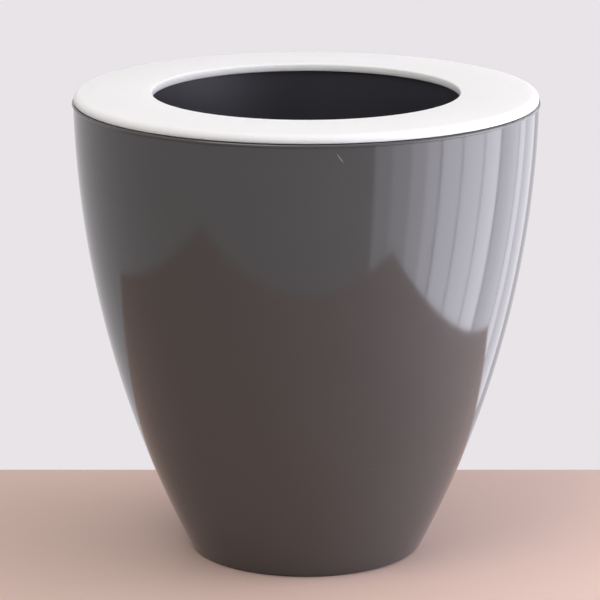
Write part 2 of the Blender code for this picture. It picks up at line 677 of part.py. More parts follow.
def make_gauge_marker(material, parent):
    socket = ROD_RADIUS + PIN_GAP
    socket_top = MARKER_BOTTOM + ROD_SOCKET
    profile = [
        (0.0, socket_top),
        (socket, socket_top),
        (socket, MARKER_BOTTOM),
        (MARKER_RADIUS - MARKER_EDGE, MARKER_BOTTOM),
        (MARKER_RADIUS, MARKER_BOTTOM + MARKER_EDGE),
        (MARKER_RADIUS, MARKER_TOP - MARKER_EDGE),
        (MARKER_RADIUS - MARKER_EDGE, MARKER_TOP),
        (0.0, MARKER_TOP),
    ]
    turned_object("gauge_marker", profile, PIPE_STEPS, material, GAUGE_PLACE, parent=parent)


def make_wick_cup(name, turn, material, parent):
    """Slotted cup that hangs in the inner pot's floor and dips its soil into the water."""
    foot = POT_FLOOR_TOP + WICK_FLOOR_GAP
    flange_bottom = INNER_FLOOR_TOP + SEAT_GAP
    flange_top = flange_bottom + WICK_FLANGE
    profile = [
        (WICK_FOOT_HOLE, foot),
        (WICK_TIP_RADIUS, foot),
        (WICK_RADIUS, flange_bottom),
        (WICK_RADIUS + WICK_FLANGE_WIDTH, flange_bottom),
        (WICK_RADIUS + WICK_FLANGE_WIDTH, flange_top),
        (WICK_RADIUS - WICK_WALL, flange_top),
        (WICK_TIP_RADIUS - WICK_WALL, foot + WICK_WALL),
        (WICK_FOOT_HOLE, foot + WICK_WALL),
    ]
    cup = turned_object(name, profile, PIPE_STEPS, material, polar(WICK_CIRCLE, turn), parent=parent)
    slots = bmesh.new()
    slot_bottom = foot + WICK_WALL + WICK_SLOT_MARGIN
    slot_top = INNER_FLOOR_BOTTOM - WICK_SLOT_MARGIN
    add_star(slots, WICK_SLOTS, WICK_SLOT_WIDTH, WICK_RADIUS + CUT_MARGIN, slot_bottom, slot_top)
    combine(cup, "DIFFERENCE", slots, name + "_slots")


def make_drain_plug(material):
    """Plug pushed up into the pot's floor from below, with a bar to pull it by."""
    head_bottom = PLUG_FLOOR_GAP + PLUG_GRIP
    head_top = head_bottom + PLUG_HEAD
    tip = POT_FLOOR_TOP + PLUG_TIP
    profile = [
        (0.0, head_bottom),
        (PLUG_HEAD_RADIUS - PLUG_CHAMFER, head_bottom),
        (PLUG_HEAD_RADIUS, head_bottom + PLUG_CHAMFER),
        (PLUG_HEAD_RADIUS, head_top),
        (PLUG_STEM_RADIUS, head_top),
        (PLUG_STEM_RADIUS, tip - PLUG_CHAMFER),
        (PLUG_STEM_RADIUS - PLUG_CHAMFER, tip),
        (0.0, tip),
    ]
    plug = turned_object("drain_plug", profile, PIPE_STEPS, material)
    bar = bmesh.new()
    half = PLUG_STEM_RADIUS
    outline = [(-half, PLUG_FLOOR_GAP), (half, PLUG_FLOOR_GAP), (half, head_top), (-half, head_top)]
    add_prism(bar, [(x, -PLUG_GRIP_WIDTH / 2, z) for x, z in outline], (0.0, PLUG_GRIP_WIDTH, 0.0))
    combine(plug, "UNION", bar, "drain_plug_bar")
    return plug


def make_drain_seal(material, parent):
    radius = SEAL_SECTION / 2
    centre = (PLUG_STEM_RADIUS + PIN_GAP + radius, FOOT_RECESS - SEAT_GAP - radius)
    section = arc(centre, radius, 0.0, 2 * math.pi, SEAL_STEPS)
    turned_object("drain_seal", section[:-1], PIPE_STEPS, material, parent=parent)


def make_lift_handle(name, side, material, parent):
    """Bail that hangs from two pins on the inner pot's wall, with its origin on their axis."""
    inside_corner = HANDLE_CORNER - 2 * HANDLE_EYE
    inside_y = HANDLE_HALF_WIDTH - HANDLE_EYE
    corner_y = HANDLE_OUTER_Y - HANDLE_CORNER
    corner_z = HANDLE_CORNER - HANDLE_DROP - HANDLE_EYE
    quarter = math.pi / 2
    outline = joined(
        arc((HANDLE_HALF_WIDTH, 0.0), HANDLE_EYE, 2 * quarter, 0.0, 3 * CORNER_STEPS),
        arc((corner_y, corner_z), HANDLE_CORNER, 0.0, -quarter, CORNER_STEPS),
        arc((-corner_y, corner_z), HANDLE_CORNER, -quarter, -2 * quarter, CORNER_STEPS),
        arc((-HANDLE_HALF_WIDTH, 0.0), HANDLE_EYE, 2 * quarter, 0.0, 3 * CORNER_STEPS),
        arc((-corner_y, corner_z), inside_corner, -2 * quarter, -quarter, CORNER_STEPS),
        arc((corner_y, corner_z), inside_corner, -quarter, 0.0, CORNER_STEPS),
    )
    bm = bmesh.new()
    add_prism(bm, [(-HANDLE_THICKNESS / 2, y, z) for y, z in outline], (HANDLE_THICKNESS, 0.0, 0.0))
    place = (side * HANDLE_PIVOT_X, 0.0, HANDLE_PIVOT_Z)
    handle = new_object(name, bm, material, place, parent=parent)
    grip = bmesh.new()
    grip_end = HANDLE_HALF_WIDTH - GRIP_MARGIN
    add_rod(grip, (0.0, -grip_end, -HANDLE_DROP), (0.0, grip_end, -HANDLE_DROP), GRIP_RADIUS, PIN_STEPS)
    eyes = bmesh.new()
    for end in (-1, 1):
        boss_start = (0.0, end * (inside_y + BOSS_INSET), 0.0)
        boss_stop = (0.0, end * (HANDLE_OUTER_Y - BOSS_INSET), 0.0)
        add_rod(grip, boss_start, boss_stop, HANDLE_EYE, PIN_STEPS)
        eye_start = (0.0, end * (inside_y - CUT_MARGIN), 0.0)
        eye_stop = (0.0, end * (HANDLE_OUTER_Y + CUT_MARGIN), 0.0)
        add_rod(eyes, eye_start, eye_stop, HANDLE_PIN_RADIUS + PIN_GAP, PIN_STEPS)
    combine(handle, "UNION", grip, name + "_grip_and_bosses")
    combine(handle, "DIFFERENCE", eyes, name + "_eyes")


def make_handle_pin(name, side, end, material, parent):
    start = end * (HANDLE_HALF_WIDTH - HANDLE_EYE - HANDLE_PIN_END)
    stop = end * (EAR_OUTER_Y + HANDLE_PIN_END)
    bm = bmesh.new()
    add_rod(bm, (0.0, start, 0.0), (0.0, stop, 0.0), HANDLE_PIN_RADIUS, PIN_STEPS)
    place = (side * HANDLE_PIVOT_X, 0.0, HANDLE_PIVOT_Z)
    new_object(name, bm, material, place, parent=parent)


def main():
    for obj in list(bpy.data.objects):
        bpy.data.objects.remove(obj)

    glossy_grey = finish("glossy_grey_plastic", (0.060, 0.055, 0.054), 0.12)
    white = finish("white_plastic", (0.86, 0.85, 0.83), 0.30)
    dark = finish("dark_satin_plastic", (0.020, 0.020, 0.022), 0.42)
    clear = finish("clear_plastic", (0.92, 0.95, 0.95), 0.05, transmission=1.0)
    pale_foam = finish("pale_float_foam", (0.75, 0.72, 0.64), 0.70)
    red = finish("red_plastic", (0.60, 0.03, 0.02), 0.35)
    steel = finish("steel", (0.56, 0.56, 0.57), 0.30, metallic=1.0)
    rubber = finish("black_rubber", (0.012, 0.012, 0.012), 0.80)

    inner_frame = bpy.data.objects.new("inner_pot_assembly", None)
    bpy.context.collection.objects.link(inner_frame)

    make_outer_pot(glossy_grey)
    plug = make_drain_plug(dark)
    make_drain_seal(rubber, plug)
    make_inner_pot(dark, inner_frame)
    make_cover_ring(white, inner_frame)
    for name, turn in WICK_ANGLES.items():
        make_wick_cup("wick_cup_" + name, turn, dark, inner_frame)
    make_filler_tube(dark, inner_frame)
    make_filler_funnel(dark, inner_frame)
    make_filler_lid(dark, inner_frame)
    make_filler_lid_pin(steel, inner_frame)
    make_gauge_tube(clear, inner_frame)
    make_gauge_cap(clear, inner_frame)
    make_gauge_strainer(dark, inner_frame)
    make_gauge_float(pale_foam, inner_frame)
    make_gauge_rod(white, inner_frame)
    make_gauge_marker(red, inner_frame)
    for side, side_name in ((-1, "left"), (1, "right")):
        make_lift_handle("lift_handle_" + side_name, side, dark, inner_frame)
        for end, end_name in ((-1, "front"), (1, "rear")):
            make_handle_pin(f"handle_pin_{side_name}_{end_name}", side, end, steel, inner_frame)


main()
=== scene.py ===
"""Self-watering planter: its looks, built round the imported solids.

Metres, +Z up. The origin is the middle of the base. The front faces -Y, and the filler and the gauge
stand on that side.
"""

import json
import math
from functools import partial

import bmesh
import bpy
from bpy.props import FloatProperty, FloatVectorProperty, IntProperty, PointerProperty
from bpy.types import Operator, Panel, PropertyGroup
from mathutils import Matrix, Vector


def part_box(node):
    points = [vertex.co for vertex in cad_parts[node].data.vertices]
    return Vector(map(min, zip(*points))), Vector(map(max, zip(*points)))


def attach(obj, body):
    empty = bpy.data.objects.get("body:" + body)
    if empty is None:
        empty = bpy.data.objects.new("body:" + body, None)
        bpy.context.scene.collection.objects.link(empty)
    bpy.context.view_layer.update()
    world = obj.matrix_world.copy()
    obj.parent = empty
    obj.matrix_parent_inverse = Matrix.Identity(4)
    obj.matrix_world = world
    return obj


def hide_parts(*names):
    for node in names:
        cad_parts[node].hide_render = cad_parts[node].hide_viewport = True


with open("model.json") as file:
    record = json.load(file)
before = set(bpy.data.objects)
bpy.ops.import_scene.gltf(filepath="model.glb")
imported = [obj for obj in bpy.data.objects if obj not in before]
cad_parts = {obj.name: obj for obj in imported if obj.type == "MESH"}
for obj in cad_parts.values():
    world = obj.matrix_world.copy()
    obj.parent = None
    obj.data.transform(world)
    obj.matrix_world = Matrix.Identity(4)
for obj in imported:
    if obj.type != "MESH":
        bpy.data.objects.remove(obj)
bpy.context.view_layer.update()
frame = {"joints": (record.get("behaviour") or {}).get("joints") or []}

bl_info = {
    "name": "Self-watering planter",
    "version": (1, 0, 0),
    "blender": (4, 5, 0),
    "location": "View3D > Sidebar > Planter",
    "description": "Builds the visible pieces of a self-watering planter round its packed solids",
    "category": "Add Mesh",
}


def heights(node):
    """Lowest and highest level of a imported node."""
    return [corner.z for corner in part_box(node)]


# Clearances, as in the solids
SEAT_GAP = 0.0003
FIT = 0.0004
PIN_GAP = 0.0003
CUT_MARGIN = 0.0050

# Outer pot
RIM_RADIUS = 0.1500
POT_HEIGHT = 0.2985
BASE_RADIUS = 0.0756
SIDE_BULGE = 0.0176
POT_WALL = 0.0032
POT_FLOOR = 0.0035
FOOT_WIDTH = 0.0120
FOOT_RECESS = 0.0080
BASE_CORNER = 0.0035
FLOOR_CORNER = 0.0080
RIM_BEAD = 0.0010
RIM_LIP = 0.0008
RIM_LIP_START = math.radians(-60)
RIM_SEAT_WIDTH = 0.0085
RIM_SEAT_DEPTH = 0.0045
DRAIN_RADIUS = 0.0110
BASE_RIBS = (0.0240, 0.0370, 0.0500)
BASE_RIB_WIDTH = 0.0016
BASE_RIB_DEPTH = 0.0007

# Drain plug
PLUG_LOW, PLUG_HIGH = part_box("drain_plug")
PLUG_GRIP = 0.0026
PLUG_GRIP_WIDTH = 0.0036
PLUG_HEAD = 0.0018
PLUG_CHAMFER = 0.0008
SEAL_SECTION = 0.0020

# Cover ring
RING_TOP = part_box("cover_ring")[1].z
RING_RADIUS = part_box("cover_ring")[1].x
RING_GAP = 0.0005
RING_PLATE = 0.0028
RING_EDGE_WALL = 0.0030
RING_ROUND = 0.0040
RING_HOLE_RADIUS = 0.0994
RING_LIP_WALL = 0.0022
RING_LIP_DEPTH = 0.0051
RING_LIP_ROUND = 0.0010

# Inner pot
INNER_WALL = 0.0024
INNER_CORNER = 0.0060
INNER_FLOOR_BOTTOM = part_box("inner_pot")[0].z
WATER_GAP = 0.0206
FLANGE = 0.0024
LOCATING_RIB = 0.0040
LOCATING_RIB_WALL = 0.0020
SEEP_HOLE_RADIUS = 0.0030
SEEP_HOLES = 6
SEEP_CIRCLE = 0.0150
GUSSETS = 8
GUSSET_THICKNESS = 0.0024
GUSSET_REACH = 0.0300
GUSSET_DROP = 0.0240
GUSSET_TOE = 0.0005
SOCKET_HEIGHT = 0.0120
SOCKET_WALL = 0.0022

# Standpipes of the filler and the gauge
BEAD_WIDTH = 0.0022
BEAD_THICKNESS = 0.0020

# Filler
FILLER_FOOT, FILLER_TOP = heights("filler_tube")
FILLER_BORE = 0.0105
FILLER_WALL = 0.0018
FUNNEL_WALL = 0.0018
FUNNEL_MOUTH = 0.0190
FUNNEL_DEPTH = 0.0160
FUNNEL_LIP = 0.0025
FUNNEL_SLEEVE = 0.0100
LID_THICKNESS = 0.0022
LID_EDGE = 0.0007
LID_DISH = 0.0005
LID_DISH_RIM = 0.0026
LID_RIB_GAP = 0.0020
LID_RIB_WALL = 0.0015
LID_RIB_DEPTH = 0.0015
LID_TAB_REACH = 0.0050
LID_TAB_WIDTH = 0.0120
TAB_RIDGES = 3
TAB_RIDGE = 0.0004
KNUCKLE_RADIUS = 0.0028
KNUCKLE_LENGTH = 0.0120
HINGE_CLEARANCE = 0.0008
HINGE_EAR = 0.0024
HINGE_EAR_SINK = 0.0012
LID_PIN_RADIUS = 0.0011

# Water gauge
GAUGE_BORE = 0.0092
GAUGE_WALL = 0.0016
STRAINER_FOOT, STRAINER_TOP = heights("gauge_strainer")
GAUGE_FOOT, GAUGE_TOP = heights("gauge_tube")
STRAINER_WALL = 0.0014
STRAINER_FLOOR = 0.0016
STRAINER_INLET = 0.0040
STRAINER_SLOT_PAIRS = 2
STRAINER_SLOT_WIDTH = 0.0024
CAP_BOTTOM, CAP_TOP = heights("gauge_cap")
CAP_WALL = 0.0015
CAP_ROUND = 0.0040
LEVEL_LINES = 4
LEVEL_LINE = 0.0005
FLOAT_BOTTOM, FLOAT_TOP = heights("gauge_float")
FLOAT_PLAY = 0.0006
FLOAT_EDGE = 0.0020
ROD_BOTTOM, ROD_TOP = heights("gauge_rod")
ROD_RADIUS = 0.0015
ROD_SOCKET = 0.0060
MARKER_BOTTOM, MARKER_TOP = heights("gauge_marker")
MARKER_RADIUS = 0.0065
MARKER_EDGE = 0.0015

# Wick cups
WICK_NAMES = ("wick_cup_rear", "wick_cup_left", "wick_cup_right")
WICK_FOOT, WICK_TOP = heights("wick_cup_rear")
WICK_RADIUS = 0.0186
WICK_TIP_RADIUS = 0.0140
WICK_WALL = 0.0016
WICK_FLANGE = 0.0018
WICK_FLANGE_WIDTH = 0.0039
WICK_FOOT_HOLE = 0.0040
WICK_SLOT_PAIRS = 3
WICK_SLOT_WIDTH = 0.0030
WICK_SLOT_MARGIN = 0.0040

# Lift handles
HANDLE_JOINTS = [joint for joint in frame["joints"] if "handle" in joint["name"]]
HANDLE_PLACES = {joint["child"]: Vector(joint["pos_m"]) for joint in HANDLE_JOINTS}
HANDLE_PIVOT_X = HANDLE_PLACES["handle_right"].x
HANDLE_PIVOT_Z = HANDLE_PLACES["handle_right"].z
HANDLE_HALF_WIDTH = 0.0280
HANDLE_EYE = 0.0036
HANDLE_THICKNESS = 0.0034
HANDLE_DROP = 0.0460
HANDLE_CORNER = 0.0120
HANDLE_EDGE = 0.0009
GRIP_RADIUS = 0.0042
GRIP_MARGIN = 0.0080
GRIP_GROOVE = 0.0006
EAR_HALF_HEIGHT = 0.0045
EAR_THICKNESS = 0.0030
EAR_NOSE = 0.0035
HANDLE_PIN_RADIUS = 0.0016
HANDLE_PIN_END = 0.0006

# Heights, radii and places that follow from the sizes above
POT_FLOOR_TOP = FOOT_RECESS + POT_FLOOR
INNER_FLOOR_TOP = INNER_FLOOR_BOTTOM + INNER_WALL
SOCKET_TOP = INNER_FLOOR_TOP + SOCKET_HEIGHT
FLANGE_BOTTOM = POT_HEIGHT + SEAT_GAP
FLANGE_TOP = FLANGE_BOTTOM + FLANGE
CHORD = math.hypot(RIM_RADIUS - BASE_RADIUS, POT_HEIGHT)
SIDE_RADIUS = CHORD**2 / (8 * SIDE_BULGE) + SIDE_BULGE / 2
SIDE_CENTRE_R = (RIM_RADIUS + BASE_RADIUS) / 2 - POT_HEIGHT / CHORD * (SIDE_RADIUS - SIDE_BULGE)
SIDE_CENTRE_Z = POT_HEIGHT / 2 + (RIM_RADIUS - BASE_RADIUS) / CHORD * (SIDE_RADIUS - SIDE_BULGE)
RIM_SEAT_RADIUS = RIM_RADIUS - RIM_SEAT_WIDTH
FLANGE_RADIUS = RING_RADIUS - RING_EDGE_WALL - FIT
MOUTH_RADIUS = RING_HOLE_RADIUS + RING_LIP_WALL + FIT
FILLER_RADIUS = FILLER_BORE + FILLER_WALL
GAUGE_RADIUS = GAUGE_BORE + GAUGE_WALL
FUNNEL_TOP = FILLER_TOP + FUNNEL_DEPTH
LID_RADIUS = FUNNEL_MOUTH + FUNNEL_WALL
LID_BOTTOM = FUNNEL_TOP + SEAT_GAP
HINGE_X = LID_RADIUS + KNUCKLE_RADIUS + HINGE_CLEARANCE
HINGE_Z = LID_BOTTOM + LID_THICKNESS / 2
HANDLE_OUTER_Y = HANDLE_HALF_WIDTH + HANDLE_EYE
EAR_INNER_Y = HANDLE_OUTER_Y + FIT
EAR_OUTER_Y = EAR_INNER_Y + EAR_THICKNESS

# Smoothness
PIN_STEPS = 32
SIDE_STEPS = 56
EDGE_STEPS = 3
FILLET_STEPS = 5
WIDE_FILLET = 0.0020
WIDE_FILLET_STEPS = 12
SHARP_ANGLE = math.radians(32)
ALONG_Y = Matrix.Rotation(-math.pi / 2, 4, "X")


def linear(code):
    """Linear RGB from an sRGB hex code."""
    parts = [int(code[start : start + 2], 16) / 255 for start in (1, 3, 5)]
    return tuple(part / 12.92 if part <= 0.04045 else ((part + 0.055) / 1.055) ** 2.4 for part in parts)


def colour_setting(name, description, code):
    """Colour property with an sRGB hex code as its default."""
    return FloatVectorProperty(name=name, description=description, subtype="COLOR", default=linear(code))


class PlanterSizes(PropertyGroup):
    """Sizes of the finer detail that the solids leave out."""

    pot_steps: IntProperty(
        name="Pot steps",
        description="Faces round the pot, the ring and the inner pot",
        default=192,
        min=48,
    )
    pipe_steps: IntProperty(
        name="Pipe steps",
        description="Faces round the pipes and cups",
        default=72,
        min=24,
    )
    grip_grooves: IntProperty(
        name="Grip grooves",
        description="Finger grooves on each lift handle",
        default=9,
        min=0,
    )
    edge: FloatProperty(
        name="Edge round",
        description="Radius that the moulds leave on small edges",
        default=0.0004,
        min=0.0001,
        max=0.0006,
        precision=4,
        unit="LENGTH",
    )


class PlanterColours(PropertyGroup):
    """Colours of the planter's materials."""

    pot: colour_setting("Pot", "Glossy pot", "#474646")
    ring: colour_setting("Ring", "White ring", "#f6f4f1")
    liner: colour_setting("Liner", "Dark inner pieces", "#2a2a30")
    clear: colour_setting("Gauge", "Clear gauge", "#f3f8f8")
    foam: colour_setting("Float", "Foam float", "#e0dccf")
    marker: colour_setting("Marker", "Gauge marker", "#c8281c")
    steel: colour_setting("Pins", "Steel pins", "#c6c6c8")
    rubber: colour_setting("Seal", "Drain seal", "#1c1c1d")


class PlanterStage(PropertyGroup):
    """Floor, light and lens."""

    floor: colour_setting("Floor", "Pale floor", "#d9bdb0")
    backdrop: colour_setting("Backdrop", "Far white", "#e8e4e8")
    ambient: FloatProperty(name="Ambient", description="Light from all round", default=0.32, min=0.0)
    window: FloatProperty(
        name="Window", description="Brightness of the side panels", default=5.4, min=0.0
    )
    overhead: FloatProperty(
        name="Overhead", description="Brightness of the panel above", default=1.35, min=0.0
    )
    fill: FloatProperty(
        name="Fill", description="Brightness of the high panel at the front left", default=3.3, min=0.0
    )
    lens: FloatProperty(
        name="Lens", description="Focal length in millimetres", default=198.5, min=1.0, unit="CAMERA"
    )


def side_radius_at(height, inset):
    """Radius at a height on the pot's bowed side, moved inwards by inset."""
    reach = SIDE_RADIUS - inset
    return SIDE_CENTRE_R + math.sqrt(reach**2 - (height - SIDE_CENTRE_Z) ** 2)


INNER_BASE_RADIUS = side_radius_at(INNER_FLOOR_BOTTOM, POT_WALL) - WATER_GAP - INNER_WALL
INNER_TILT = math.atan2(MOUTH_RADIUS - INNER_BASE_RADIUS, FLANGE_TOP - INNER_FLOOR_TOP)


def inner_radius_at(height, outset=0.0):
    """Radius at a height of the inner pot's inside wall, moved outwards by outset."""
    rise = height - INNER_FLOOR_TOP
    return INNER_BASE_RADIUS + rise * math.tan(INNER_TILT) + outset / math.cos(INNER_TILT)


def axis_of(node):
    """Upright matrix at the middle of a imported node, seen from above."""
    low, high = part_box(node)
    return Matrix.Translation(((low.x + high.x) / 2, (low.y + high.y) / 2, 0.0))


def facing_in(spot):
    """The same upright place, turned so that its X points to the planter's axis."""
    return spot @ Matrix.Rotation(math.atan2(-spot.translation.y, -spot.translation.x), 4, "Z")


def polar(radius, turn, height=0.0):
    """Point on a circle round the planter's axis."""
    return Vector((radius * math.cos(turn), radius * math.sin(turn), height))


def arc(centre, radius, start, end, steps=WIDE_FILLET_STEPS):
    """Points of a circular arc from one angle to another, both ends included."""
    turns = [start + (end - start) * step / steps for step in range(steps + 1)]
    return [(centre[0] + radius * math.cos(turn), centre[1] + radius * math.sin(turn)) for turn in turns]


def rounded(corners):
    """Outline through (x, y, radius) corners, each rounded to its radius; radius 0 stays sharp."""
    outline = []
    for index, (x, y, radius) in enumerate(corners):
        corner = Vector((x, y))
        before = (Vector(corners[index - 1][:2]) - corner).normalized()
        after = (Vector(corners[(index + 1) % len(corners)][:2]) - corner).normalized()
        half = math.acos(max(-1.0, min(1.0, before.dot(after)))) / 2
        if radius == 0.0:
            outline.append((x, y))
            continue
        centre = corner + (before + after).normalized() * radius / math.sin(half)
        first = corner + before * radius / math.tan(half) - centre
        start = math.atan2(first.y, first.x)
        sweep = math.copysign(math.pi - 2 * half, -before.cross(after))
        steps = FILLET_STEPS if radius < WIDE_FILLET else WIDE_FILLET_STEPS
        outline += arc(centre, radius, start, start + sweep, steps)
    return outline


def side_fillet(inset, level, radius):
    """Centre and end angle of the round between the side and a level below it."""
    height = level + radius
    centre = (side_radius_at(height, inset + radius), height)
    return centre, math.atan2(height - SIDE_CENTRE_Z, centre[0] - SIDE_CENTRE_R)


def add_turned(bm, outline, steps, spot=Matrix()):
    """Turn (radius, height) points round an upright axis; an outline clear of the axis is closed."""
    rings = []
    for radius, height in outline:
        count = steps if radius > 0 else 1
        turns = [2 * math.pi * step / count for step in range(count)]
        rings.append([bm.verts.new(spot @ polar(radius, turn, height)) for turn in turns])
    following = rings[1:] + rings[:1] if outline[0][0] > 0 else rings[1:]
    for low, high in zip(rings, following):
        for step in range(steps):
            places = ((low, step), (low, step + 1), (high, step + 1), (high, step))
            corners = [ring[place % len(ring)] for ring, place in places]
            bm.faces.new(list(dict.fromkeys(corners)))


def add_column(bm, radius, bottom, top, steps, spot=Matrix()):
    """Plain upright column, for cutting holes."""
    add_turned(bm, [(0.0, bottom), (radius, bottom), (radius, top), (0.0, top)], steps, spot)


def add_rod(bm, radius, start, end, dome, spot):
    """Pin along the spot's own Z, with domed ends."""
    corners = [(0.0, start, 0.0), (radius, start, dome), (radius, end, dome), (0.0, end, 0.0)]
    add_turned(bm, rounded(corners), PIN_STEPS, spot)


def add_prism(bm, outline, sweep, edge=0.0, spot=Matrix()):
    """Sweep a flat outline of 3-D points along a vector, and round its sharp edges."""
    base = [bm.verts.new(spot @ Vector(point)) for point in outline]
    swept = bmesh.ops.extrude_face_region(bm, geom=[bm.faces.new(base)])["geom"]
    moved = [item for item in swept if isinstance(item, bmesh.types.BMVert)]
    bmesh.ops.translate(bm, verts=moved, vec=spot.to_3x3() @ Vector(sweep))
    faces = {face for vertex in base + moved for face in vertex.link_faces}
    bmesh.ops.recalc_face_normals(bm, faces=list(faces))
    if edge:
        edges = {side for face in faces for side in face.edges}
        sharp = [side for side in edges if side.calc_face_angle() > SHARP_ANGLE]
        shape = {"segments": EDGE_STEPS, "profile": 0.5, "clamp_overlap": True}
        bmesh.ops.bevel(bm, geom=sharp, offset=edge, affect="EDGES", **shape)


def solid(name, bm):
    """Object from a bmesh, with its faces pointing out."""
    bmesh.ops.recalc_face_normals(bm, faces=bm.faces)
    mesh = bpy.data.meshes.new(name)
    bm.to_mesh(mesh)
    bm.free()
    piece = bpy.data.objects.new(name, mesh)
    bpy.context.scene.collection.objects.link(piece)
    return piece


def turned_solid(name, outline, steps, spot=Matrix()):
    """Object made by turning one outline."""
    bm = bmesh.new()
    add_turned(bm, outline, steps, spot)
    return solid(name, bm)


def combine(piece, operation, bm):
    """Join a shape to a piece, or cut it out, and keep the result as the piece's mesh."""
    tool = solid("tool", bm)
    modifier = piece.modifiers.new(operation, "BOOLEAN")
    modifier.operation = operation
    modifier.solver = "EXACT"
    modifier.object = tool
    graph = bpy.context.evaluated_depsgraph_get()
    result = bpy.data.meshes.new_from_object(piece.evaluated_get(graph), depsgraph=graph)
    piece.modifiers.clear()
    piece.data = result
    bpy.data.objects.remove(tool)


def cut_slots(piece, slot, reach, count, spot):
    """Cut a slot of (across, height) points right through a piece, a number of times round its axis."""
    for index in range(count):
        cut = bmesh.new()
        turn = spot @ Matrix.Rotation(math.pi * index / count, 4, "Z")
        add_prism(cut, [(-reach, y, z) for y, z in slot], (2 * reach, 0.0, 0.0), spot=turn)
        combine(piece, "DIFFERENCE", cut)


def dress(piece, body, slot, *nodes):
    """Finish a piece: shading, material, the body it rides on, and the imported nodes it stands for."""
    piece.data.shade_smooth()
    piece.data.set_sharp_from_angle(angle=SHARP_ANGLE)
    maker, setting = FINISHES[slot]
    colour = getattr(bpy.context.scene.planter_colours, setting)
    material = bpy.data.materials.get(maker.__name__) or maker(colour)
    piece.data.materials.clear()
    piece.data.materials.append(material)
    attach(piece, body)
    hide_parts(*nodes)


def connect(node, *links):
    """Feed a node's sockets from (socket, node, output) links."""
    for socket, source, output in links:
        node.id_data.links.new(source.outputs[output], node.inputs[socket])


def add_node(tree, kind, values=(), links=(), **options):
    """Add a shader node with its options, its socket values and its links."""
    node = tree.nodes.new("ShaderNode" + kind)
    for option, value in options.items():
        setattr(node, option, value)
    for socket, value in dict(values).items():
        node.inputs[socket].default_value = value
    connect(node, *links)
    return node


def new_material(name, sockets):
    """Material, call that adds nodes to it, its Principled shader and a link to object coordinates."""
    material = bpy.data.materials.new(name)
    material.use_nodes = True
    add = partial(add_node, material.node_tree)
    shader = material.node_tree.nodes["Principled BSDF"]
    for socket, value in sockets.items():
        shader.inputs[socket].default_value = value
    return material, add, shader, [("Vector", add("TexCoord"), "Object")]


class PLANTER_OT_outer_pot(Operator):
    """Glossy outer pot, which is also the water reservoir"""

    bl_idname = "planter.outer_pot"
    bl_label = "Outer pot"

    def execute(self, context):
        sizes = context.scene.planter_sizes
        piece = turned_solid("pot_shell", pot_outline(sizes.edge), sizes.pot_steps)
        dress(piece, "pot", "pot_grey", "outer_pot")
        return {"FINISHED"}


def pot_outline(edge):
    """Outline of the outer pot: up its outside, over the rim, down its inside and along its underside."""
    side_centre = (SIDE_CENTRE_R, SIDE_CENTRE_Z)
    base_centre, base_angle = side_fillet(0.0, 0.0, BASE_CORNER)
    floor_centre, floor_angle = side_fillet(POT_WALL, POT_FLOOR_TOP, FLOOR_CORNER)
    bead_centre = (RIM_RADIUS + RIM_LIP - RIM_BEAD, POT_HEIGHT - RIM_BEAD)
    bead_angle = math.asin((POT_HEIGHT - 2 * RIM_BEAD - SIDE_CENTRE_Z) / SIDE_RADIUS)
    seat_bottom = POT_HEIGHT - RIM_SEAT_DEPTH
    seat_blend = seat_bottom - (RIM_SEAT_WIDTH - POT_WALL)
    blend_angle = math.asin((seat_blend - SIDE_CENTRE_Z) / (SIDE_RADIUS - POT_WALL))
    foot_inside = base_centre[0] - FOOT_WIDTH
    outline = [(foot_inside + edge, 0.0)]
    outline += arc(base_centre, BASE_CORNER, -math.pi / 2, base_angle)
    outline += arc(side_centre, SIDE_RADIUS, base_angle, bead_angle, SIDE_STEPS)[1:]
    outline += arc(bead_centre, RIM_BEAD, RIM_LIP_START, math.pi / 2)
    outline += [(RIM_SEAT_RADIUS + edge, POT_HEIGHT), (RIM_SEAT_RADIUS, POT_HEIGHT - edge)]
    outline += [(RIM_SEAT_RADIUS, seat_bottom)]
    outline += arc(side_centre, SIDE_RADIUS - POT_WALL, blend_angle, floor_angle, SIDE_STEPS)
    outline += arc(floor_centre, FLOOR_CORNER, floor_angle, -math.pi / 2)[1:]
    outline += [(DRAIN_RADIUS + edge, POT_FLOOR_TOP), (DRAIN_RADIUS, POT_FLOOR_TOP - edge)]
    outline += [(DRAIN_RADIUS, FOOT_RECESS + edge), (DRAIN_RADIUS + edge, FOOT_RECESS)]
    root = BASE_RIB_WIDTH / 2
    crest = BASE_RIB_WIDTH / 4
    rib_bottom = FOOT_RECESS - BASE_RIB_DEPTH
    for radius in BASE_RIBS:
        outline += [(radius - root, FOOT_RECESS), (radius - crest, rib_bottom)]
        outline += [(radius + crest, rib_bottom), (radius + root, FOOT_RECESS)]
    outline += [(foot_inside, FOOT_RECESS), (foot_inside, edge)]
    return outline


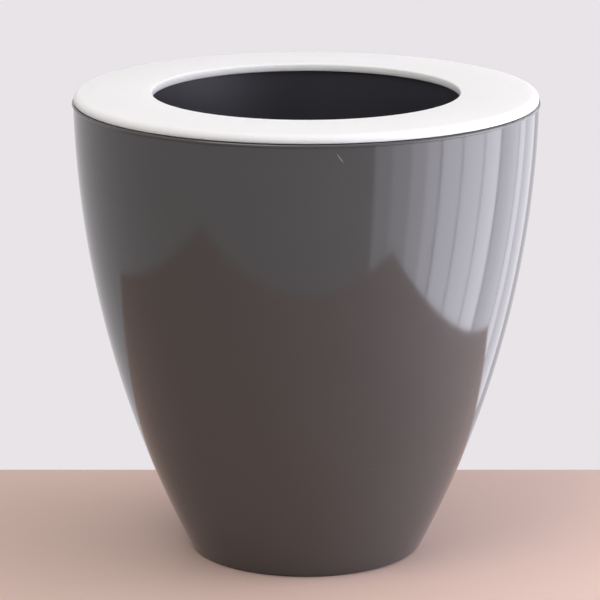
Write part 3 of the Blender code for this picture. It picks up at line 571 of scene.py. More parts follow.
class PLANTER_OT_cover_ring(Operator):
    """Flat white ring on the rim"""

    bl_idname = "planter.cover_ring"
    bl_label = "Cover ring"

    def execute(self, context):
        sizes = context.scene.planter_sizes
        edge = sizes.edge
        edge_inside = RING_RADIUS - RING_EDGE_WALL
        edge_bottom = POT_HEIGHT + RING_GAP
        lip_outside = RING_HOLE_RADIUS + RING_LIP_WALL
        lip_bottom = RING_TOP - RING_LIP_DEPTH
        plate_bottom = RING_TOP - RING_PLATE
        corners = [
            (edge_inside, edge_bottom, edge),
            (RING_RADIUS, edge_bottom, edge),
            (RING_RADIUS, RING_TOP, RING_ROUND),
            (RING_HOLE_RADIUS, RING_TOP, RING_LIP_ROUND),
            (RING_HOLE_RADIUS, lip_bottom, edge),
            (lip_outside, lip_bottom, edge),
            (lip_outside, plate_bottom, edge),
            (edge_inside, plate_bottom, edge),
        ]
        piece = turned_solid("ring_plate", rounded(corners), sizes.pot_steps)
        dress(piece, "ring", "ring_white", "cover_ring")
        return {"FINISHED"}


class PLANTER_OT_inner_pot(Operator):
    """Dark planting pot that hangs in the outer pot by its flange"""

    bl_idname = "planter.inner_pot"
    bl_label = "Inner pot"

    def execute(self, context):
        sizes = context.scene.planter_sizes
        piece = turned_solid("planting_pot", inner_pot_outline(sizes.edge), sizes.pot_steps)
        added = bmesh.new()
        holes = bmesh.new()
        below = INNER_FLOOR_BOTTOM - CUT_MARGIN
        above = INNER_FLOOR_TOP + CUT_MARGIN
        floor_middle = (INNER_FLOOR_BOTTOM + INNER_FLOOR_TOP) / 2
        for node, radius in (("filler_tube", FILLER_RADIUS), ("gauge_tube", GAUGE_RADIUS)):
            spot = axis_of(node)
            collar = radius + FIT + SOCKET_WALL
            corners = [(0.0, floor_middle, 0.0), (collar, floor_middle, 0.0)]
            corners += [(collar, SOCKET_TOP, sizes.edge), (0.0, SOCKET_TOP, 0.0)]
            add_turned(added, rounded(corners), sizes.pipe_steps, spot)
            add_column(holes, radius + FIT, below, SOCKET_TOP + CUT_MARGIN, sizes.pipe_steps, spot)
        for name in WICK_NAMES:
            add_column(holes, WICK_RADIUS + FIT, below, above, sizes.pipe_steps, axis_of(name))
        for index in range(SEEP_HOLES):
            spot = Matrix.Translation(polar(SEEP_CIRCLE, 2 * math.pi * (index + 0.5) / SEEP_HOLES))
            add_column(holes, SEEP_HOLE_RADIUS, below, above, PIN_STEPS, spot)
        for index in range(GUSSETS):
            add_gusset(added, 2 * math.pi * (index + 0.5) / GUSSETS, sizes.edge)
        for side in (-1, 1):
            for end in (-1, 1):
                add_handle_ear(added, side, end, sizes.edge)
                spot = Matrix.Translation((side * HANDLE_PIVOT_X, 0.0, HANDLE_PIVOT_Z)) @ ALONG_Y
                reach = sorted((end * (EAR_INNER_Y - FIT), end * (EAR_OUTER_Y + CUT_MARGIN)))
                add_column(holes, HANDLE_PIN_RADIUS + PIN_GAP, *reach, PIN_STEPS, spot)
        combine(piece, "UNION", added)
        combine(piece, "DIFFERENCE", holes)
        dress(piece, "liner", "liner_dark", "inner_pot")
        return {"FINISHED"}


def inner_pot_outline(edge):
    """Outline of the inner pot: up its outside, round its flange and down its inside."""
    rib_outside = RIM_SEAT_RADIUS - FIT
    rib_inside = rib_outside - LOCATING_RIB_WALL
    rib_bottom = FLANGE_BOTTOM - LOCATING_RIB
    base = inner_radius_at(INNER_FLOOR_BOTTOM, INNER_WALL)
    return rounded(
        [
            (SEEP_HOLE_RADIUS, INNER_FLOOR_BOTTOM, edge),
            (base, INNER_FLOOR_BOTTOM, INNER_CORNER + INNER_WALL),
            (inner_radius_at(FLANGE_BOTTOM, INNER_WALL), FLANGE_BOTTOM, edge),
            (rib_inside, FLANGE_BOTTOM, edge),
            (rib_inside, rib_bottom, edge),
            (rib_outside, rib_bottom, edge),
            (rib_outside, FLANGE_BOTTOM, edge),
            (FLANGE_RADIUS, FLANGE_BOTTOM, edge),
            (FLANGE_RADIUS, FLANGE_TOP, edge),
            (MOUTH_RADIUS, FLANGE_TOP, edge),
            (inner_radius_at(INNER_FLOOR_TOP), INNER_FLOOR_TOP, INNER_CORNER),
            (SEEP_HOLE_RADIUS, INNER_FLOOR_TOP, edge),
        ]
    )


def add_gusset(bm, turn, edge):
    """Triangular rib between the inner pot's wall and its flange."""
    top = FLANGE_BOTTOM + FLANGE / 2
    bottom = FLANGE_BOTTOM - GUSSET_DROP
    top_wall = inner_radius_at(top, INNER_WALL / 2)
    bottom_wall = inner_radius_at(bottom, INNER_WALL / 2)
    across = polar(GUSSET_THICKNESS, turn + math.pi / 2)
    outline = [
        polar(bottom_wall, turn, bottom),
        polar(top_wall + GUSSET_REACH, turn, FLANGE_BOTTOM - GUSSET_TOE),
        polar(top_wall + GUSSET_REACH, turn, top),
        polar(top_wall, turn, top),
    ]
    add_prism(bm, [point - across / 2 for point in outline], across, edge)


def add_handle_ear(bm, side, end, edge):
    """Block with a rounded nose on the inner pot's wall, which holds one pin of a lift handle."""
    wall = inner_radius_at(HANDLE_PIVOT_Z, INNER_WALL / 2)
    root = (math.sqrt(wall**2 - EAR_INNER_Y**2) + math.sqrt(wall**2 - EAR_OUTER_Y**2)) / 2
    nose = HANDLE_PIVOT_X - EAR_HALF_HEIGHT
    low = HANDLE_PIVOT_Z - EAR_HALF_HEIGHT
    high = HANDLE_PIVOT_Z + EAR_HALF_HEIGHT
    corners = [(nose, low, EAR_NOSE), (root, low, 0.0), (root, high, 0.0), (nose, high, EAR_NOSE)]
    outline = [(side * x, end * EAR_INNER_Y, z) for x, z in rounded(corners)]
    add_prism(bm, outline, (0.0, end * EAR_THICKNESS, 0.0), edge)


class PLANTER_OT_wick_cups(Operator):
    """Slotted soil cups that reach down into the water"""

    bl_idname = "planter.wick_cups"
    bl_label = "Wick cups"

    def execute(self, context):
        sizes = context.scene.planter_sizes
        edge = sizes.edge
        flange_bottom = WICK_TOP - WICK_FLANGE
        corners = [
            (WICK_FOOT_HOLE, WICK_FOOT, edge),
            (WICK_TIP_RADIUS, WICK_FOOT, 2 * edge),
            (WICK_RADIUS, flange_bottom, edge),
            (WICK_RADIUS + WICK_FLANGE_WIDTH, flange_bottom, edge),
            (WICK_RADIUS + WICK_FLANGE_WIDTH, WICK_TOP, 2 * edge),
            (WICK_RADIUS - WICK_WALL, WICK_TOP, 2 * edge),
            (WICK_TIP_RADIUS - WICK_WALL, WICK_FOOT + WICK_WALL, 2 * edge),
            (WICK_FOOT_HOLE, WICK_FOOT + WICK_WALL, edge),
        ]
        slot_bottom = WICK_FOOT + WICK_WALL + WICK_SLOT_MARGIN
        slot_top = INNER_FLOOR_BOTTOM - WICK_SLOT_MARGIN
        half = WICK_SLOT_WIDTH / 2
        slot = arc((0.0, slot_bottom + half), half, -math.pi, 0.0)
        slot += arc((0.0, slot_top - half), half, 0.0, math.pi)
        reach = WICK_RADIUS + CUT_MARGIN
        for name in WICK_NAMES:
            spot = axis_of(name)
            piece = turned_solid(name + "_moulding", rounded(corners), sizes.pipe_steps, spot)
            cut_slots(piece, slot, reach, WICK_SLOT_PAIRS, spot)
            dress(piece, "liner", "liner_dark", name)
        return {"FINISHED"}


def standpipe(bore, radius, foot, top, edge):
    """Outline of a pipe with a bead that rests on its socket's collar."""
    bead_bottom = SOCKET_TOP + SEAT_GAP
    bead_top = bead_bottom + BEAD_THICKNESS
    bead = radius + BEAD_WIDTH
    return rounded(
        [
            (bore, foot, edge),
            (radius, foot, edge),
            (radius, bead_bottom, 0.0),
            (bead, bead_bottom, edge),
            (bead, bead_top, edge),
            (radius, bead_top, edge),
            (radius, top, edge),
            (bore, top, edge),
        ]
    )


class PLANTER_OT_filler(Operator):
    """Filler pipe with its funnel, hinged lid and pin"""

    bl_idname = "planter.filler"
    bl_label = "Filler"

    def execute(self, context):
        sizes = context.scene.planter_sizes
        spot = facing_in(axis_of("filler_tube"))
        pipe_outline = standpipe(FILLER_BORE, FILLER_RADIUS, FILLER_FOOT, FILLER_TOP, sizes.edge)
        pipe = turned_solid("filler_pipe", pipe_outline, sizes.pipe_steps, spot)
        dress(pipe, "liner", "liner_dark", "filler_tube")
        dress(make_funnel(sizes, spot), "liner", "liner_dark", "filler_funnel")
        hinge = spot @ Matrix.Translation((HINGE_X, 0.0, HINGE_Z))
        dress(make_lid(sizes, hinge), "lid", "liner_dark", "filler_lid")
        pin = bmesh.new()
        half = KNUCKLE_LENGTH / 2 + FIT + HINGE_EAR
        add_rod(pin, LID_PIN_RADIUS, -half, half, LID_PIN_RADIUS / 2, hinge @ ALONG_Y)
        dress(solid("filler_hinge_wire", pin), "liner", "pin_steel", "filler_lid_pin")
        return {"FINISHED"}


def make_funnel(sizes, spot):
    """Flared mouth on the filler pipe, with two hinge ears towards the planter's axis."""
    sleeve_inside = FILLER_RADIUS + FIT
    sleeve_outside = sleeve_inside + FUNNEL_WALL
    sleeve_bottom = FILLER_TOP - FUNNEL_SLEEVE
    flare_top = FUNNEL_TOP - FUNNEL_LIP
    shoulder = FILLER_TOP + SEAT_GAP
    edge = sizes.edge
    outside = [
        (0.0, sleeve_bottom, 0.0),
        (sleeve_outside, sleeve_bottom, edge),
        (sleeve_outside, FILLER_TOP, WIDE_FILLET),
        (LID_RADIUS, flare_top, 2 * edge),
        (LID_RADIUS, FUNNEL_TOP, edge),
        (0.0, FUNNEL_TOP, 0.0),
    ]
    bore = [
        (0.0, sleeve_bottom - CUT_MARGIN, 0.0),
        (sleeve_inside, sleeve_bottom - CUT_MARGIN, 0.0),
        (sleeve_inside, shoulder, 0.0),
        (FILLER_BORE, shoulder, 0.0),
        (FILLER_BORE, shoulder + FUNNEL_WALL, edge),
        (FUNNEL_MOUTH, flare_top, 2 * edge),
        (FUNNEL_MOUTH, FUNNEL_TOP - edge, 0.0),
        (FUNNEL_MOUTH + 2 * edge, FUNNEL_TOP + edge, 0.0),
        (0.0, FUNNEL_TOP + CUT_MARGIN, 0.0),
    ]
    funnel = turned_solid("filler_mouth", rounded(outside), sizes.pipe_steps, spot)
    neck_top = FUNNEL_TOP - HINGE_EAR_SINK
    ear = [(0.0, FILLER_TOP), (0.0, neck_top), (HINGE_X - KNUCKLE_RADIUS, neck_top)]
    ear += arc((HINGE_X, HINGE_Z), KNUCKLE_RADIUS, math.pi, 0.0, 2 * WIDE_FILLET_STEPS)
    ear += [(HINGE_X + KNUCKLE_RADIUS, neck_top - KNUCKLE_RADIUS)]
    ears = bmesh.new()
    cuts = bmesh.new()
    ear_inside = KNUCKLE_LENGTH / 2 + FIT
    for end in (-1, 1):
        outline = [(x, end * ear_inside, z) for x, z in ear]
        add_prism(ears, outline, (0.0, end * HINGE_EAR, 0.0), edge, spot)
    add_turned(cuts, rounded(bore), sizes.pipe_steps, spot)
    reach = ear_inside + HINGE_EAR + CUT_MARGIN
    hinge = spot @ Matrix.Translation((HINGE_X, 0.0, HINGE_Z)) @ ALONG_Y
    add_column(cuts, LID_PIN_RADIUS + PIN_GAP, -reach, reach, PIN_STEPS, hinge)
    combine(funnel, "UNION", ears)
    combine(funnel, "DIFFERENCE", cuts)
    return funnel


def make_lid(sizes, hinge):
    """Dished flap with a ribbed finger tab; it opens towards the planter's axis."""
    edge = sizes.edge
    bottom = -LID_THICKNESS / 2
    top = LID_THICKNESS / 2
    rib_outside = FUNNEL_MOUTH - LID_RIB_GAP
    rib_inside = rib_outside - LID_RIB_WALL
    rib_bottom = bottom - LID_RIB_DEPTH
    dish = LID_RADIUS - LID_DISH_RIM
    corners = [
        (0.0, bottom, 0.0),
        (rib_inside, bottom, edge),
        (rib_inside, rib_bottom, edge),
        (rib_outside, rib_bottom, edge),
        (rib_outside, bottom, edge),
        (LID_RADIUS, bottom, edge),
        (LID_RADIUS, top, LID_EDGE),
        (dish, top, edge),
        (dish - LID_DISH, top - LID_DISH, edge),
        (0.0, top - LID_DISH, 0.0),
    ]
    middle = hinge @ Matrix.Translation((-HINGE_X, 0.0, 0.0))
    lid = turned_solid("filler_flap", rounded(corners), sizes.pipe_steps, middle)
    low = bottom + edge
    high = top - edge
    web_end = LID_RADIUS - HINGE_X - KNUCKLE_RADIUS + LID_EDGE
    knuckle = [(web_end, high), (web_end, low)]
    turn = math.pi - math.asin(LID_THICKNESS / 2 / KNUCKLE_RADIUS)
    knuckle += arc((0.0, 0.0), KNUCKLE_RADIUS, -turn, turn, 2 * WIDE_FILLET_STEPS)
    tab_end = -HINGE_X - LID_RADIUS - LID_TAB_REACH
    tab_root = tab_end + 2 * LID_TAB_REACH
    tab = [(tab_end, low), (tab_end, high), (tab_root, high), (tab_root, low)]
    added = bmesh.new()
    for outline, width in ((knuckle, KNUCKLE_LENGTH), (tab, LID_TAB_WIDTH)):
        add_prism(added, [(x, -width / 2, z) for x, z in outline], (0.0, width, 0.0), edge, hinge)
    bore = bmesh.new()
    reach = KNUCKLE_LENGTH / 2 + CUT_MARGIN
    add_column(bore, LID_PIN_RADIUS + PIN_GAP, -reach, reach, PIN_STEPS, hinge @ ALONG_Y)
    ridges = bmesh.new()
    half = LID_TAB_WIDTH / 2 - 2 * edge
    for index in range(TAB_RIDGES):
        x = tab_end + LID_TAB_REACH * (index + 0.5) / TAB_RIDGES
        spot = hinge @ Matrix.Translation((x, 0.0, high)) @ ALONG_Y
        add_rod(ridges, TAB_RIDGE, -half, half, TAB_RIDGE / 2, spot)
    combine(lid, "UNION", added)
    combine(lid, "UNION", ridges)
    combine(lid, "DIFFERENCE", bore)
    return lid


class PLANTER_OT_gauge(Operator):
    """Water gauge: clear pipe and cap, strainer, float, rod and marker"""

    bl_idname = "planter.gauge"
    bl_label = "Water gauge"

    def execute(self, context):
        sizes = context.scene.planter_sizes
        spot = axis_of("gauge_tube")
        outlines = gauge_outlines(sizes.edge)
        for name, body, slot, node in (
            ("gauge_pipe", "liner", "gauge_clear", "gauge_tube"),
            ("gauge_dome", "liner", "gauge_clear", "gauge_cap"),
            ("float_body", "float", "float_pale", "gauge_float"),
            ("float_rod", "float", "ring_white", "gauge_rod"),
            ("float_marker", "float", "marker_red", "gauge_marker"),
        ):
            dress(turned_solid(name, outlines[name], sizes.pipe_steps, spot), body, slot, node)
        strainer = turned_solid("gauge_foot", outlines["gauge_foot"], sizes.pipe_steps, spot)
        reach = GAUGE_RADIUS + FIT + STRAINER_WALL + CUT_MARGIN
        half = STRAINER_SLOT_WIDTH / 2
        slot_top = STRAINER_FOOT + STRAINER_FLOOR + STRAINER_SLOT_WIDTH
        slot = [(-half, STRAINER_FOOT - CUT_MARGIN), (half, STRAINER_FOOT - CUT_MARGIN)]
        slot += arc((0.0, slot_top - half), half, 0.0, math.pi)
        cut_slots(strainer, slot, reach, STRAINER_SLOT_PAIRS, spot)
        dress(strainer, "liner", "liner_dark", "gauge_strainer")
        return {"FINISHED"}


def gauge_outlines(edge):
    """Outlines of the gauge's turned pieces, by piece name."""
    sleeve_inside = GAUGE_RADIUS + FIT
    cap_outside = sleeve_inside + CAP_WALL
    foot_outside = sleeve_inside + STRAINER_WALL
    foot_floor = STRAINER_FOOT + STRAINER_FLOOR
    ceiling = CAP_TOP - CAP_WALL
    cap = [(0.0, ceiling), (GAUGE_BORE - edge, ceiling), (GAUGE_BORE, ceiling - edge)]
    cap += [(GAUGE_BORE, GAUGE_TOP + SEAT_GAP), (sleeve_inside, GAUGE_TOP + SEAT_GAP)]
    cap += [(sleeve_inside, CAP_BOTTOM + edge), (sleeve_inside + edge, CAP_BOTTOM)]
    cap += [(cap_outside - edge, CAP_BOTTOM), (cap_outside, CAP_BOTTOM + edge)]
    half = LEVEL_LINE / 2
    line = [(0.0, -LEVEL_LINE), (half, -half), (half, half), (0.0, LEVEL_LINE)]
    dome = CAP_TOP - CAP_ROUND
    for index in range(LEVEL_LINES):
        height = GAUGE_TOP + (dome - GAUGE_TOP) * (index + 0.5) / LEVEL_LINES
        cap += [(cap_outside + out, height + rise) for out, rise in line]
    cap += arc((cap_outside - CAP_ROUND, dome), CAP_ROUND, 0.0, math.pi / 2)
    cap += [(0.0, CAP_TOP)]
    float_radius = GAUGE_BORE - FLOAT_PLAY
    socket = ROD_RADIUS + PIN_GAP
    corners = {
        "gauge_foot": [
            (STRAINER_INLET, STRAINER_FOOT, edge),
            (foot_outside, STRAINER_FOOT, 2 * edge),
            (foot_outside, STRAINER_TOP, edge),
            (sleeve_inside, STRAINER_TOP, edge),
            (sleeve_inside, foot_floor, 0.0),
            (STRAINER_INLET, foot_floor, edge),
        ],
        "float_body": [
            (0.0, FLOAT_BOTTOM, 0.0),
            (float_radius, FLOAT_BOTTOM, FLOAT_EDGE),
            (float_radius, FLOAT_TOP, FLOAT_EDGE),
            (socket, FLOAT_TOP, edge),
            (socket, FLOAT_TOP - ROD_SOCKET, 0.0),
            (0.0, FLOAT_TOP - ROD_SOCKET, 0.0),
        ],
        "float_rod": [
            (0.0, ROD_BOTTOM, 0.0),
            (ROD_RADIUS, ROD_BOTTOM, edge),
            (ROD_RADIUS, ROD_TOP, edge),
            (0.0, ROD_TOP, 0.0),
        ],
        "float_marker": [
            (0.0, MARKER_BOTTOM + ROD_SOCKET, 0.0),
            (socket, MARKER_BOTTOM + ROD_SOCKET, 0.0),
            (socket, MARKER_BOTTOM, edge),
            (MARKER_RADIUS, MARKER_BOTTOM, MARKER_EDGE),
            (MARKER_RADIUS, MARKER_TOP, MARKER_EDGE),
            (0.0, MARKER_TOP, 0.0),
        ],
    }
    outlines = {name: rounded(points) for name, points in corners.items()}
    outlines["gauge_pipe"] = standpipe(GAUGE_BORE, GAUGE_RADIUS, GAUGE_FOOT, GAUGE_TOP, edge)
    outlines["gauge_dome"] = cap
    return outlines


class PLANTER_OT_drain(Operator):
    """Drain plug and its sealing ring, under the pot"""

    bl_idname = "planter.drain"
    bl_label = "Drain plug"

    def execute(self, context):
        sizes = context.scene.planter_sizes
        edge = sizes.edge
        stem = DRAIN_RADIUS - FIT
        head = PLUG_HIGH.x
        head_bottom = PLUG_LOW.z + PLUG_GRIP
        head_top = head_bottom + PLUG_HEAD
        corners = [
            (0.0, head_bottom, 0.0),
            (head, head_bottom, PLUG_CHAMFER),
            (head, head_top, edge),
            (stem, head_top, 0.0),
            (stem, PLUG_HIGH.z, PLUG_CHAMFER),
            (0.0, PLUG_HIGH.z, 0.0),
        ]
        plug = turned_solid("drain_stopper", rounded(corners), sizes.pipe_steps)
        bar = bmesh.new()
        bar_top = head_top - edge
        side = [(-stem, PLUG_LOW.z), (stem, PLUG_LOW.z), (stem, bar_top), (-stem, bar_top)]
        outline = [(x, -PLUG_GRIP_WIDTH / 2, z) for x, z in side]
        add_prism(bar, outline, (0.0, PLUG_GRIP_WIDTH, 0.0), 2 * edge)
        combine(plug, "UNION", bar)
        dress(plug, "plug", "liner_dark", "drain_plug")
        section = SEAL_SECTION / 2
        centre = (stem + PIN_GAP + section, FOOT_RECESS - SEAT_GAP - section)
        ring = arc(centre, section, 0.0, 2 * math.pi, 2 * WIDE_FILLET_STEPS)[:-1]
        seal = turned_solid("drain_ring", ring, sizes.pipe_steps)
        dress(seal, "plug", "seal_rubber", "drain_seal")
        return {"FINISHED"}


class PLANTER_OT_lift_handles(Operator):
    """Two swinging bails for lifting the inner pot out, and their pins"""

    bl_idname = "planter.lift_handles"
    bl_label = "Lift handles"

    def execute(self, context):
        sizes = context.scene.planter_sizes
        for body, place in HANDLE_PLACES.items():
            spot = Matrix.Translation(place)
            side = body.split("_")[1]
            bail = make_handle(f"bail_{side}", sizes, spot)
            dress(bail, body, "liner_dark", f"lift_handle_{side}")
            start = HANDLE_HALF_WIDTH - HANDLE_EYE - HANDLE_PIN_END
            stop = EAR_OUTER_Y + HANDLE_PIN_END
            for end, low, high in (("front", -stop, -start), ("rear", start, stop)):
                pin = bmesh.new()
                add_rod(pin, HANDLE_PIN_RADIUS, low, high, HANDLE_PIN_RADIUS / 2, spot @ ALONG_Y)
                wire = solid(f"bail_pin_{side}_{end}", pin)
                dress(wire, "liner", "pin_steel", f"handle_pin_{side}_{end}")
        return {"FINISHED"}


def make_handle(name, sizes, spot):
    """Bail with a grooved grip, hanging from two eyes."""
    inside_corner = HANDLE_CORNER - 2 * HANDLE_EYE
    inside_y = HANDLE_HALF_WIDTH - HANDLE_EYE
    corner_y = HANDLE_OUTER_Y - HANDLE_CORNER
    corner_z = HANDLE_CORNER - HANDLE_DROP - HANDLE_EYE
    quarter = math.pi / 2
    outline = arc((HANDLE_HALF_WIDTH, 0.0), HANDLE_EYE, 2 * quarter, 0.0, 2 * WIDE_FILLET_STEPS)
    outline += arc((corner_y, corner_z), HANDLE_CORNER, 0.0, -quarter)
    outline += arc((-corner_y, corner_z), HANDLE_CORNER, -quarter, -2 * quarter)
    outline += arc((-HANDLE_HALF_WIDTH, 0.0), HANDLE_EYE, 2 * quarter, 0.0, 2 * WIDE_FILLET_STEPS)
    outline += arc((-corner_y, corner_z), inside_corner, -2 * quarter, -quarter)
    outline += arc((corner_y, corner_z), inside_corner, -quarter, 0.0)
    strap = bmesh.new()
    half = HANDLE_THICKNESS / 2
    face = [(-half, y, z) for y, z in outline]
    add_prism(strap, face, (HANDLE_THICKNESS, 0.0, 0.0), HANDLE_EDGE, spot)
    handle = solid(name, strap)
    added = bmesh.new()
    grip_end = HANDLE_HALF_WIDTH - GRIP_MARGIN
    grip = [(0.0, -grip_end, 0.0), (GRIP_RADIUS, -grip_end, 2 * sizes.edge)]
    pitch = 2 * grip_end / (sizes.grip_grooves + 1)
    for index in range(sizes.grip_grooves):
        middle = -grip_end + pitch * (index + 1)
        grip += [(GRIP_RADIUS, middle - pitch / 4, sizes.edge)]
        grip += [(GRIP_RADIUS - GRIP_GROOVE, middle, sizes.edge)]
        grip += [(GRIP_RADIUS, middle + pitch / 4, sizes.edge)]
    grip += [(GRIP_RADIUS, grip_end, 2 * sizes.edge), (0.0, grip_end, 0.0)]
    bottom = spot @ Matrix.Translation((0.0, 0.0, -HANDLE_DROP))
    add_turned(added, rounded(grip), PIN_STEPS, bottom @ ALONG_Y)
    eyes = bmesh.new()
    for end in (-1, 1):
        boss = sorted((end * (inside_y + sizes.edge), end * (HANDLE_OUTER_Y - sizes.edge)))
        add_rod(added, HANDLE_EYE, *boss, sizes.edge, spot @ ALONG_Y)
        eye = sorted((end * (inside_y - CUT_MARGIN), end * (HANDLE_OUTER_Y + CUT_MARGIN)))
        add_column(eyes, HANDLE_PIN_RADIUS + PIN_GAP, *eye, PIN_STEPS, spot @ ALONG_Y)
    combine(handle, "UNION", added)
    combine(handle, "DIFFERENCE", eyes)
    return handle


# Scratch below the pot's rim, about 8 mm long and half a millimetre wide
SCRATCH_PLACE = (0.0205, -0.148, 0.2900)
SCRATCH_TILT = (0.0, math.radians(-35), 0.0)
SCRATCH_REACH = (0.0004, 0.02, 0.0042)
SCRATCH_PALENESS = 2.6
MARK_DULLNESS = 0.25


def gloss_moulded_abs(colour):
    """ABS from a polished tool: deep gloss, faintly wavy reflections, a few hairlines and a scratch."""
    material, add, shader, place = new_material("gloss_moulded_abs", {"IOR": 1.53})
    # Pigment clouds about 60 mm across, only just seen
    clouds = add("TexNoise", {"Scale": 1 / 0.060, "Detail": 3.0}, place)
    shade = add("MapRange", {"To Min": 0.94, "To Max": 1.06}, [("Value", clouds, "Fac")])
    gloss = add("MapRange", {"To Min": 0.07, "To Max": 0.13}, [("Value", clouds, "Fac")])
    # Wiping marks: thin level lines of a noise 45 mm across, kept only in patches
    noise = {"Scale": 1 / 0.045, "Detail": 1.0, "Distortion": 0.6}
    lines = add("TexNoise", noise, place)
    centred = add("Math", {1: 0.5}, [(0, lines, "Fac")], operation="SUBTRACT")
    spread = add("Math", (), [(0, centred, "Value")], operation="ABSOLUTE")
    thin = {"From Max": 0.004, "To Min": 1.0, "To Max": 0.0}
    hairline = add("MapRange", thin, [("Value", spread, "Value")])
    patches = add("TexNoise", {"Scale": 1 / 0.090}, place)
    some = {"From Min": 0.56, "From Max": 0.70}
    patch = add("MapRange", some, [("Value", patches, "Fac")])
    both = [(0, hairline, "Result"), (1, patch, "Result")]
    wiped = add("Math", (), both, operation="MULTIPLY")
    # The scratch, paler and duller than the rest
    ellipsoid = {"Location": SCRATCH_PLACE, "Rotation": SCRATCH_TILT, "Scale": SCRATCH_REACH}
    inside = add("Mapping", ellipsoid, place, vector_type="TEXTURE")
    reach = add("VectorMath", (), [(0, inside, "Vector")], operation="LENGTH")
    soft = {"From Min": 0.5, "From Max": 1.0, "To Min": 1.0, "To Max": 0.0}
    scratch = add("MapRange", soft, [("Value", reach, "Value")])
    paler = [(0, scratch, "Result"), (2, shade, "Result")]
    worn = add("Math", {1: SCRATCH_PALENESS}, paler, operation="MULTIPLY_ADD")
    tint = add("HueSaturation", {"Color": (*colour, 1.0)}, [("Value", worn, "Value")])
    either = [(0, wiped, "Value"), (1, scratch, "Result")]
    marks = add("Math", (), either, operation="MAXIMUM")
    duller = [(0, marks, "Value"), (2, gloss, "Result")]
    rough = add("Math", {1: MARK_DULLNESS}, duller, operation="MULTIPLY_ADD")
    # Tool waviness: swells 30 mm apart and a few microns deep
    swell = add("TexNoise", {"Scale": 1 / 0.030, "Detail": 0.0}, place)
    bump = add("Bump", {"Strength": 1.0, "Distance": 0.00001}, [("Height", swell, "Fac")])
    connect(shader, ("Base Color", tint, "Color"), ("Roughness", rough, "Value"))
    connect(shader, ("Normal", bump, "Normal"))
    return material


def grained_plastic(name, colour, sockets, cloud, shade, roughness, grain, depth):
    """Moulded plastic with pigment clouds, uneven gloss and a moulded grain; sizes in metres."""
    material, add, shader, place = new_material(name, sockets)
    clouds = add("TexNoise", {"Scale": 1 / cloud, "Detail": 4.0}, place)
    cloudy = [("Value", clouds, "Fac")]
    tone = add("MapRange", {"To Min": 1 - shade, "To Max": 1 + shade}, cloudy)
    tint = add("HueSaturation", {"Color": (*colour, 1.0)}, [("Value", tone, "Result")])
    gloss = add("MapRange", {"To Min": roughness[0], "To Max": roughness[1]}, cloudy)
    texture = add("TexNoise", {"Scale": 1 / grain, "Detail": 2.0}, place)
    bump = add("Bump", {"Strength": 1.0, "Distance": depth}, [("Height", texture, "Fac")])
    connect(shader, ("Base Color", tint, "Color"), ("Roughness", gloss, "Result"))
    connect(shader, ("Normal", bump, "Normal"))
    return material


def soft_gloss_white_abs(colour):
    """White ABS from a finely blasted tool: soft highlights, glowing edges, a slightly uneven white."""
    sockets = {"IOR": 1.53, "Subsurface Weight": 1.0}
    # Light spreads about 4 mm inside the plastic, nearly alike in all colours
    sockets |= {"Subsurface Scale": 0.004, "Subsurface Radius": (1.0, 0.95, 0.9)}
    look = {"cloud": 0.080, "shade": 0.02, "roughness": (0.48, 0.58), "grain": 0.0010, "depth": 0.00002}
    return grained_plastic("soft_gloss_white_abs", colour, sockets, **look)


def satin_polypropylene(colour):
    """Dark polypropylene: a spark-eroded grain, drawn at 0.9 mm so that it shows, dulls its sheen."""
    sockets = {"IOR": 1.49, "Specular IOR Level": 0.22}
    look = {"cloud": 0.050, "shade": 0.12, "roughness": (0.36, 0.48), "grain": 0.0009, "depth": 0.00004}
    return grained_plastic("satin_polypropylene", colour, sockets, **look)


def moulded_red_abs(colour):
    """Red ABS, moulded with a light gloss."""
    look = {"cloud": 0.010, "shade": 0.05, "roughness": (0.25, 0.35), "grain": 0.0008, "depth": 0.00002}
    return grained_plastic("moulded_red_abs", colour, {"IOR": 1.53}, **look)


def moulded_nitrile(colour):
    """Black nitrile rubber: dull, with a talc bloom in soft patches."""
    look = {"cloud": 0.004, "shade": 0.35, "roughness": (0.65, 0.85), "grain": 0.0006, "depth": 0.00004}
    return grained_plastic("moulded_nitrile", colour, {"IOR": 1.52}, **look)


def clear_moulded_polystyrene(colour):
    """Clear polystyrene: like glass with a faint blue cast, and flow lines 6 mm apart from the mould."""
    sockets = {"IOR": 1.59, "Transmission Weight": 1.0, "Roughness": 0.04, "Base Color": (*colour, 1.0)}
    material, add, shader, place = new_material("clear_moulded_polystyrene", sockets)
    flow = add("TexNoise", {"Scale": 1 / 0.006, "Detail": 1.0}, place)
    bump = add("Bump", {"Strength": 1.0, "Distance": 0.00002}, [("Height", flow, "Fac")])
    connect(shader, ("Normal", bump, "Normal"))
    return material


def closed_cell_foam(colour):
    """Foam beads 2.5 mm across, pressed flat against each other: matte, with fine dark seams."""
    material, add, shader, place = new_material("closed_cell_foam", {"Roughness": 0.75})
    size = {"Scale": 1 / 0.0025}
    beads = add("TexVoronoi", size, place, feature="DISTANCE_TO_EDGE")
    seam = add("MapRange", {"From Max": 0.12, "To Min": 0.72}, [("Value", beads, "Distance")])
    tint = add("HueSaturation", {"Color": (*colour, 1.0)}, [("Value", seam, "Result")])
    bump = add("Bump", {"Strength": 0.8, "Distance": 0.0002}, [("Height", seam, "Result")])
    connect(shader, ("Base Color", tint, "Color"), ("Normal", bump, "Normal"))
    return material


